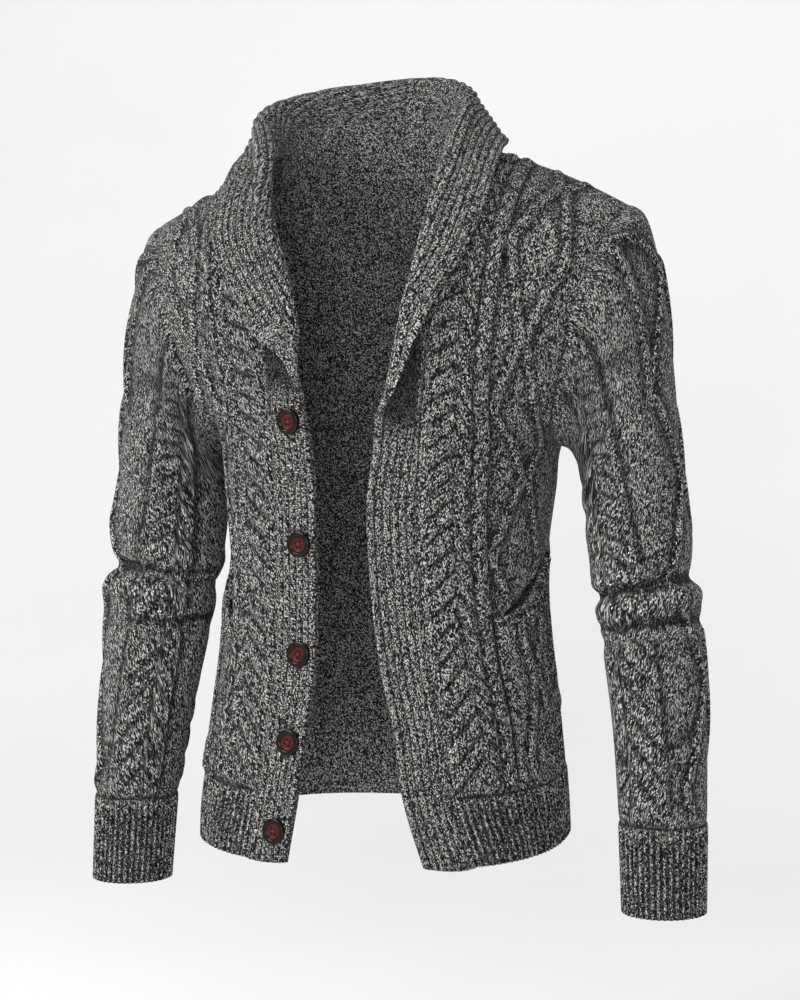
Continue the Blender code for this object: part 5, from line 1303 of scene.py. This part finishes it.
def marled_knit(name, width, height, slope, shades, gap, relief, seed):
    """Wool-blend yarn of one dark and one pale ply, knitted: flecks that follow each stitch."""
    made, tree, shader = new_material(name)
    place = add(tree, "UVMap", uv_map="knit")
    drift = add(tree, "TexNoise", {"Vector": place, "Scale": 160.0, "Detail": 1.0})
    drift = add(tree, "VectorMath", [(drift, "Color"), (0.5, 0.5, 0.5)], operation="SUBTRACT")
    drift = add(tree, "VectorMath", {0: drift, "Scale": STITCH_DRIFT}, operation="SCALE")
    drifted = add(tree, "VectorMath", [place, drift], operation="ADD")
    parts = add(tree, "SeparateXYZ", [drifted])
    leg = add(tree, "Math", [(parts, "X"), 2 / width], operation="MULTIPLY")
    side = add(tree, "Math", [leg, 2.0], operation="MODULO")
    side = add(tree, "Math", [side, 1.0], operation="SUBTRACT")
    side = add(tree, "Math", [side], operation="ABSOLUTE")
    up = add(tree, "Math", [(parts, "Y"), 1 / height], operation="MULTIPLY")
    up = add(tree, "Math", [side, -slope, up], operation="MULTIPLY_ADD")
    # Each leg of a stitch has its own tone, and the ply that lies on top varies along it.
    leg_at, up_at = (add(tree, "Math", [value], operation="FLOOR") for value in (leg, up))
    cell = add(tree, "CombineXYZ", [leg_at, up_at, seed])
    turn = add(tree, "Math", [leg_at, up_at], operation="ADD")
    turn = add(tree, "Math", [turn, 2.0], operation="MODULO")
    turn = add(tree, "Math", [turn], operation="ABSOLUTE")
    whole = add(tree, "TexWhiteNoise", {"Vector": cell}, noise_dimensions="3D")
    twist = add(tree, "TexNoise", {"Vector": drifted, "Scale": 1.4 / width, "Detail": 1.0})
    cloud = add(tree, "TexNoise", {"Vector": place, "Scale": 55.0, "Detail": 2.0})
    chance = add(tree, "Math", [twist, FLECKS["twist"]], operation="MULTIPLY")
    for value, part in ((whole, "stitch"), (turn, "leg"), (cloud, "cloud")):
        chance = add(tree, "Math", [value, FLECKS[part], chance], operation="MULTIPLY_ADD")
    tone = add(tree, "ValToRGB", [chance])
    for k, (at, code) in enumerate(shades):
        stop = tone.color_ramp.elements[k] if k < 2 else tone.color_ramp.elements.new(at)
        stop.position, stop.color = at, linear(code)
    ridges = []
    for value in (leg, up):
        turn = add(tree, "Math", [value], operation="FRACT")
        turn = add(tree, "Math", [turn, math.pi], operation="MULTIPLY")
        ridges.append(add(tree, "Math", [turn], operation="SINE"))
    form = add(tree, "Math", ridges, operation="MULTIPLY")
    form = add(tree, "Math", [form, 0.45], operation="POWER")
    fibre = add(tree, "TexNoise", {"Vector": place, "Scale": 1500.0, "Detail": 2.0})
    # Painted shade: the colour darkens in the gaps between a stitch's legs by gap, and in furrows,
    # creases and under the lapel by the hollow attribute.
    hollow = add(tree, "Attribute", attribute_name="hollow")
    shade = add(tree, "Math", [form, 1 - gap, gap], operation="MULTIPLY_ADD")
    painted_shade = add(tree, "Math", [(hollow, "Fac"), -HOLLOW_DARK, 1.0], operation="MULTIPLY_ADD")
    shade = add(tree, "Math", [shade, painted_shade], operation="MULTIPLY")
    colour = add(tree, "Mix", {"Factor": 1.0, 6: tone, 7: shade}, data_type="RGBA",
                 blend_type="MULTIPLY")
    rise = add(tree, "Math", [fibre, 0.35, form], operation="MULTIPLY_ADD")
    bump = add(tree, "Bump", {"Height": rise, "Distance": relief, "Strength": 0.9})
    tree.links.new(colour.outputs[2], shader.inputs["Base Color"])
    tree.links.new(bump.outputs[0], shader.inputs["Normal"])
    for socket, value in (("Roughness", 0.95), ("Specular IOR Level", 0.12), ("Sheen Weight", 0.03),
                          ("Sheen Roughness", 0.5)):
        shader.inputs[socket].default_value = value


def clouded(name, kind, pattern, stops, shine, **settings):
    """A finish whose colour wanders between two hex values."""
    made, tree, shader = new_material(name)
    place = add(tree, "TexCoord")
    cloud = add(tree, kind, {"Vector": (place, "Object"), **pattern}, **settings)
    tone = add(tree, "ValToRGB", [cloud])
    for stop, (at, code) in zip(tone.color_ramp.elements, stops):
        stop.position, stop.color = at, linear(code)
    tree.links.new(tone.outputs[0], shader.inputs["Base Color"])
    for socket, value in shine.items():
        shader.inputs[socket].default_value = value


def make_materials(look_of):
    shades = ((0.0, look_of.dark), (0.76, look_of.pale), (0.34, look_of.dark), (0.48, look_of.deep),
              (0.56, look_of.middle), (0.64, look_of.grey))
    # In rib the pale ply sinks a little less often out of sight.
    banded = tuple((at - RIB_PALER * (k > 1), code) for k, (at, code) in enumerate(shades))
    width, height = look_of.stitch_width, look_of.stitch_height
    # Stocking stitch in a marled wool blend: pale and dark flecks in small slanting legs. The
    # plies' own flecks are finer than a millimetre, so they are drawn as coarse as half a stitch.
    marled_knit("marled wool cable knit", width, height, 0.9, shades, 0.30, 0.0009, 1.0)
    # The same yarn in single rib: narrow upright legs, closer together.
    marled_knit("marled wool rib knit", width * 0.9, height * 0.9, 0.8, banded, 0.28, 0.0009, 5.0)
    # The purl side: low, wide loops, which show as short level flecks.
    inside = ((0.0, look_of.dark), (0.86, look_of.pale), (0.34, look_of.dark), (0.46, look_of.deep),
              (0.58, look_of.middle), (0.70, look_of.grey))
    marled_knit("marled wool purl side", width, height * 0.8, 0.2, inside, 0.35, 0.0006, 9.0)
    # Cast resin in a horn colour, polished: a dark glossy rim round a wine-red middle.
    clouded("polished horn-look resin", "TexNoise",
            {"Scale": 160.0, "Detail": 3.0, "Distortion": 1.2},
            ((0.35, look_of.rim), (0.68, look_of.wine)),
            {"Roughness": 0.18, "Specular IOR Level": 0.14, "Coat Weight": 0.05,
             "Coat Roughness": 0.08})
    # The dished middle: the same resin, redder where it is thin.
    clouded("wine-red horn-look resin", "TexNoise", {"Scale": 220.0, "Detail": 3.0},
            ((0.30, "#240C0B"), (0.72, "#4A1A17")), {"Roughness": 0.34, "Specular IOR Level": 0.12})
    # Twisted polyester thread: dull wine red with a fine slanting ply.
    clouded("twisted polyester thread", "TexWave", {"Scale": 900.0, "Distortion": 0.6},
            ((0.2, "#260C0B"), (0.8, "#5A2522")), {"Roughness": 0.7}, bands_direction="DIAGONAL")
    # Seamless paper: matt, almost white, with the faintest mottle.
    clouded("matt white seamless paper", "TexNoise", {"Scale": 3.0, "Detail": 1.0},
            ((0.0, "#EDEDED"), (1.0, "#F1F1F1")), {"Roughness": 0.95})


# Properties --------------------------------------------------------------
class CardiganYarn(bpy.types.PropertyGroup):
    """Colours of the yarn and the buttons, and the size of a stitch."""

    dark: bpy.props.StringProperty(name="Dark ply", description="Hex colour of the dark ply",
                                   default="#070708")
    deep: bpy.props.StringProperty(name="Deep", description="Hex colour of the dark ply in light",
                                   default="#2B2B2C")
    middle: bpy.props.StringProperty(name="Middle", description="Hex colour where the plies mix",
                                     default="#666665")
    grey: bpy.props.StringProperty(name="Grey", description="Hex colour of the thin pale ply",
                                   default="#A2A19E")
    pale: bpy.props.StringProperty(name="Pale ply", description="Hex colour of the pale ply",
                                   default="#F4F2EE")
    rim: bpy.props.StringProperty(name="Button rim", description="Hex colour of the button's rim",
                                  default="#0A0605")
    wine: bpy.props.StringProperty(name="Button cloud", description="Hex colour in the rim's clouds",
                                   default="#1E0E0C")
    stitch_width: bpy.props.FloatProperty(name="Stitch width", description="One stitch, side to side",
                                          default=0.0019, min=0.001, unit="LENGTH")
    stitch_height: bpy.props.FloatProperty(name="Stitch height", description="One course of stitches",
                                           default=0.0012, min=0.001, unit="LENGTH")


class CardiganStage(bpy.types.PropertyGroup):
    """The camera and the light round the cardigan."""

    yaw: bpy.props.FloatProperty(name="Camera yaw",
                                 description="Camera's turn towards the wearer's left",
                                 default=math.radians(17), subtype="ANGLE")
    distance: bpy.props.FloatProperty(name="Camera distance", description="From the upright axis",
                                      default=2.3, unit="LENGTH")
    level: bpy.props.FloatProperty(name="Camera height", description="Height of the camera",
                                   default=-0.235, unit="LENGTH")
    lens: bpy.props.FloatProperty(name="Lens", description="Focal length in millimetres",
                                  default=86.94)
    key: bpy.props.FloatProperty(name="Key light", description="Power of the soft key light",
                                 default=62.0, unit="POWER")
    fill: bpy.props.FloatProperty(name="Fill light", description="Power of the wide fill light",
                                  default=46.0, unit="POWER")


MADE = {}                # forms that later pieces are set against


# Operators ---------------------------------------------------------------
# The paper: its width and length, how far it runs in front of the cardigan, where it
# begins to rise and how long it takes, the curve's radius and the floor's height.
PAPER_WIDE, PAPER_LONG, PAPER_FRONT = 16.0, 14.0, 4.5
PAPER_FLAT, PAPER_BEND, PAPER_RADIUS, PAPER_LEVEL = 1.6, 2.4, 1.53, -0.98
SURROUNDING_LIGHT = 0.72
LIGHTS = (               # name, size, place and what the light points at
    ("key", 1.1, (-1.7, -1.7, 1.0), (0, 0, -0.25)),
    ("fill", 1.2, (0.55, -2.7, 0.15), (0, 0, -0.3)))
CAMERA_SHIFT = (0.015, -0.1)


class CARDIGAN_OT_yarns(bpy.types.Operator):
    """Makes the knits, the resin, the thread and the paper"""

    bl_idname = "cardigan.yarns"
    bl_label = "Yarns and Finishes"

    def execute(self, context):
        make_materials(context.scene.cardigan_yarn)
        return {"FINISHED"}


class CARDIGAN_OT_body(bpy.types.Operator):
    """Knits the back and both fronts"""

    bl_idname = "cardigan.body"
    bl_label = "Back and Fronts"

    def execute(self, context):
        MADE["back"] = back = back_panel()
        # deep=push darkens the back's creases with painted shade.
        made = wall("knit_back", back["grid"], back["facing"], back["relief"], back["spots"],
                    deep=back["push"])
        wear(made, "back")
        for side in SIDES:
            MADE["front_" + side] = front = front_panel(side)
            # clear weakens the painted furrow shade at the band seam; deep=push darkens the creases and
            # the pocket's mouth with painted shade.
            made = wall("knit_front_" + side, front["grid"], front["facing"], front["relief"],
                        front["spots"], clear=0.2 + 0.8 * soft((front["s"] - 0.003) / 0.006),
                        deep=front["push"])
            wear(made, "front_" + side, "knit_back")
        return {"FINISHED"}


class CARDIGAN_OT_sleeves(bpy.types.Operator):
    """Knits the sleeves and their ribbed cuffs"""

    bl_idname = "cardigan.sleeves"
    bl_label = "Sleeves and Cuffs"

    def execute(self, context):
        for side in SIDES:
            made, grid = sleeve_wall(side, MADE["front_" + side], MADE["back"])
            wear(made, "sleeve_" + side, "knit_back")
            wear(cuff_wall(side, grid), "cuff_" + side, "knit_sleeve_" + side)
        return {"FINISHED"}


class CARDIGAN_OT_trim(bpy.types.Operator):
    """Knits the hem rib, the shawl collar with its bands and the pockets"""

    bl_idname = "cardigan.trim"
    bl_label = "Hem, Collar and Pockets"

    def execute(self, context):
        made, _, _ = hem_wall("hem_back", [(-1, "back", False), (1, "back", False)])
        wear(made, "hem_back", "knit_back")
        for side, sign in SIDES.items():
            front, beside = MADE["front_" + side], "knit_front_" + side
            made, grid, facing = hem_wall("hem_front_" + side, [(sign, "front", True)])
            wear(made, "hem_front_" + side, beside)
            seam = strip_seam(side, front, MADE["back"], grid, facing)
            grid, facing, stands = strip_form(side, *seam)
            MADE["strip_" + side] = (grid, facing)
            wear(collar_wall(side, grid, facing, stands), "collar_" + side, beside, "knit_back")
            wear(pocket_wall(side, front), "pocket_" + side, beside)
        return {"FINISHED"}


class CARDIGAN_OT_buttons(bpy.types.Operator):
    """Turns a button and sews five on the wearer's right band"""

    bl_idname = "cardigan.buttons"
    bl_label = "Buttons"

    def execute(self, context):
        grid, facing = MADE["strip_right"]
        pattern = turned_button()
        thread = crossed_thread()
        edge_z = grid[:STRIP_STEPS // 3, -1, 2]
        for k, height in enumerate(BUTTON_HEIGHTS):
            low, high = (np.array(corner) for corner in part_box(f"button_{k + 1}"))
            middle = (low + high) / 2
            at = int(np.argmin(np.abs(edge_z - height)))
            near = np.argmin(np.linalg.norm(grid[at] - middle, axis=1))
            around = facing[max(at - 3, 0):at + 4, max(near - 3, 0):near + 4]
            out = unit(around.reshape(-1, 3).mean(axis=0))
            lean = Vector(out).to_track_quat("Z", "Y").to_matrix().to_4x4()
            base = Matrix.Translation(Vector(middle - out * BUTTON_THICK / 2))
            turn = Matrix.Rotation(math.radians(BUTTON_TURN * k), 4, "Z")
            for source, name, finishes in (
                    (pattern, "horn_button", ()),
                    (thread, "button_thread", ("twisted polyester thread",))):
                made = bpy.data.objects.new(f"{name}_{k + 1}", source.data.copy())
                context.scene.collection.objects.link(made)
                made.data.transform(base @ lean @ turn)
                for finish in finishes:
                    made.data.materials.append(bpy.data.materials[finish])
                if name == "horn_button":
                    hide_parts(f"button_{k + 1}")
                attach(made, "root")
                made.data.shade_smooth()
                only(made)
                bpy.ops.object.shade_smooth_by_angle(angle=math.radians(40))
        bpy.data.objects.remove(pattern)
        bpy.data.objects.remove(thread)
        return {"FINISHED"}


class CARDIGAN_OT_stage(bpy.types.Operator):
    """Sets up the paper, the soft lights and the camera"""

    bl_idname = "cardigan.stage"
    bl_label = "Stage and Camera"

    def execute(self, context):
        scene, stage = context.scene, context.scene.cardigan_stage
        bpy.ops.object.select_all(action="DESELECT")
        bpy.ops.mesh.primitive_grid_add(x_subdivisions=2, y_subdivisions=48, size=1)
        paper = context.active_object
        paper.name = "seamless_paper"
        for point in paper.data.vertices:
            run = (point.co.y + 0.5) * PAPER_LONG - PAPER_FRONT
            turn = np.clip((run - PAPER_FLAT) / PAPER_BEND, 0, 1) * math.pi / 2
            y = min(run, PAPER_FLAT) + PAPER_RADIUS * math.sin(turn)
            z = PAPER_RADIUS * (1 - math.cos(turn)) + max(run - PAPER_FLAT - PAPER_BEND, 0)
            point.co = (point.co.x * PAPER_WIDE, y, z + PAPER_LEVEL)
        paper.data.materials.append(bpy.data.materials["matt white seamless paper"])
        paper.data.shade_smooth()
        world = bpy.data.worlds.new("studio")
        scene.world = world
        world.use_nodes = True
        white = world.node_tree.nodes["Background"]
        white.inputs[0].default_value = (1.0, 1.0, 1.0, 1.0)
        white.inputs[1].default_value = SURROUNDING_LIGHT
        for name, size, place, aim in LIGHTS:
            light = bpy.data.lights.new(name, "AREA")
            light.energy, light.size = getattr(stage, name), size
            lamp = bpy.data.objects.new(name, light)
            lamp.location = place
            lamp.rotation_euler = (Vector(aim) - Vector(place)).to_track_quat("-Z", "Y").to_euler()
            scene.collection.objects.link(lamp)
        camera = bpy.data.cameras.new("camera")
        camera.lens = stage.lens
        camera.shift_x, camera.shift_y = CAMERA_SHIFT
        view = bpy.data.objects.new("camera", camera)
        view.location = (stage.distance * math.sin(stage.yaw), -stage.distance * math.cos(stage.yaw),
                         stage.level)
        view.rotation_euler = (math.pi / 2, 0.0, stage.yaw)
        scene.collection.objects.link(view)
        scene.camera = view
        scene.view_settings.view_transform = "Standard"
        return {"FINISHED"}


STEPS = (CARDIGAN_OT_yarns, CARDIGAN_OT_body, CARDIGAN_OT_sleeves, CARDIGAN_OT_trim,
         CARDIGAN_OT_buttons, CARDIGAN_OT_stage)


class CARDIGAN_PT_panel(bpy.types.Panel):
    bl_label = "Shawl Collar Cardigan"
    bl_idname = "CARDIGAN_PT_panel"
    bl_space_type = "VIEW_3D"
    bl_region_type = "UI"
    bl_category = "Cardigan"

    def draw(self, context):
        for group in (context.scene.cardigan_yarn, context.scene.cardigan_stage):
            for name in group.__annotations__:
                self.layout.prop(group, name)
        for step in STEPS:
            self.layout.operator(step.bl_idname)


CLASSES = (CardiganYarn, CardiganStage, *STEPS, CARDIGAN_PT_panel)


def register():
    for made in CLASSES:
        bpy.utils.register_class(made)
    bpy.types.Scene.cardigan_yarn = bpy.props.PointerProperty(type=CardiganYarn)
    bpy.types.Scene.cardigan_stage = bpy.props.PointerProperty(type=CardiganStage)


def unregister():
    del bpy.types.Scene.cardigan_yarn, bpy.types.Scene.cardigan_stage
    for made in reversed(CLASSES):
        bpy.utils.unregister_class(made)


def main():
    register()
    for step in STEPS:
        group, name = step.bl_idname.split(".")
        getattr(getattr(bpy.ops, group), name)()


if __name__ == "__main__":
    main()
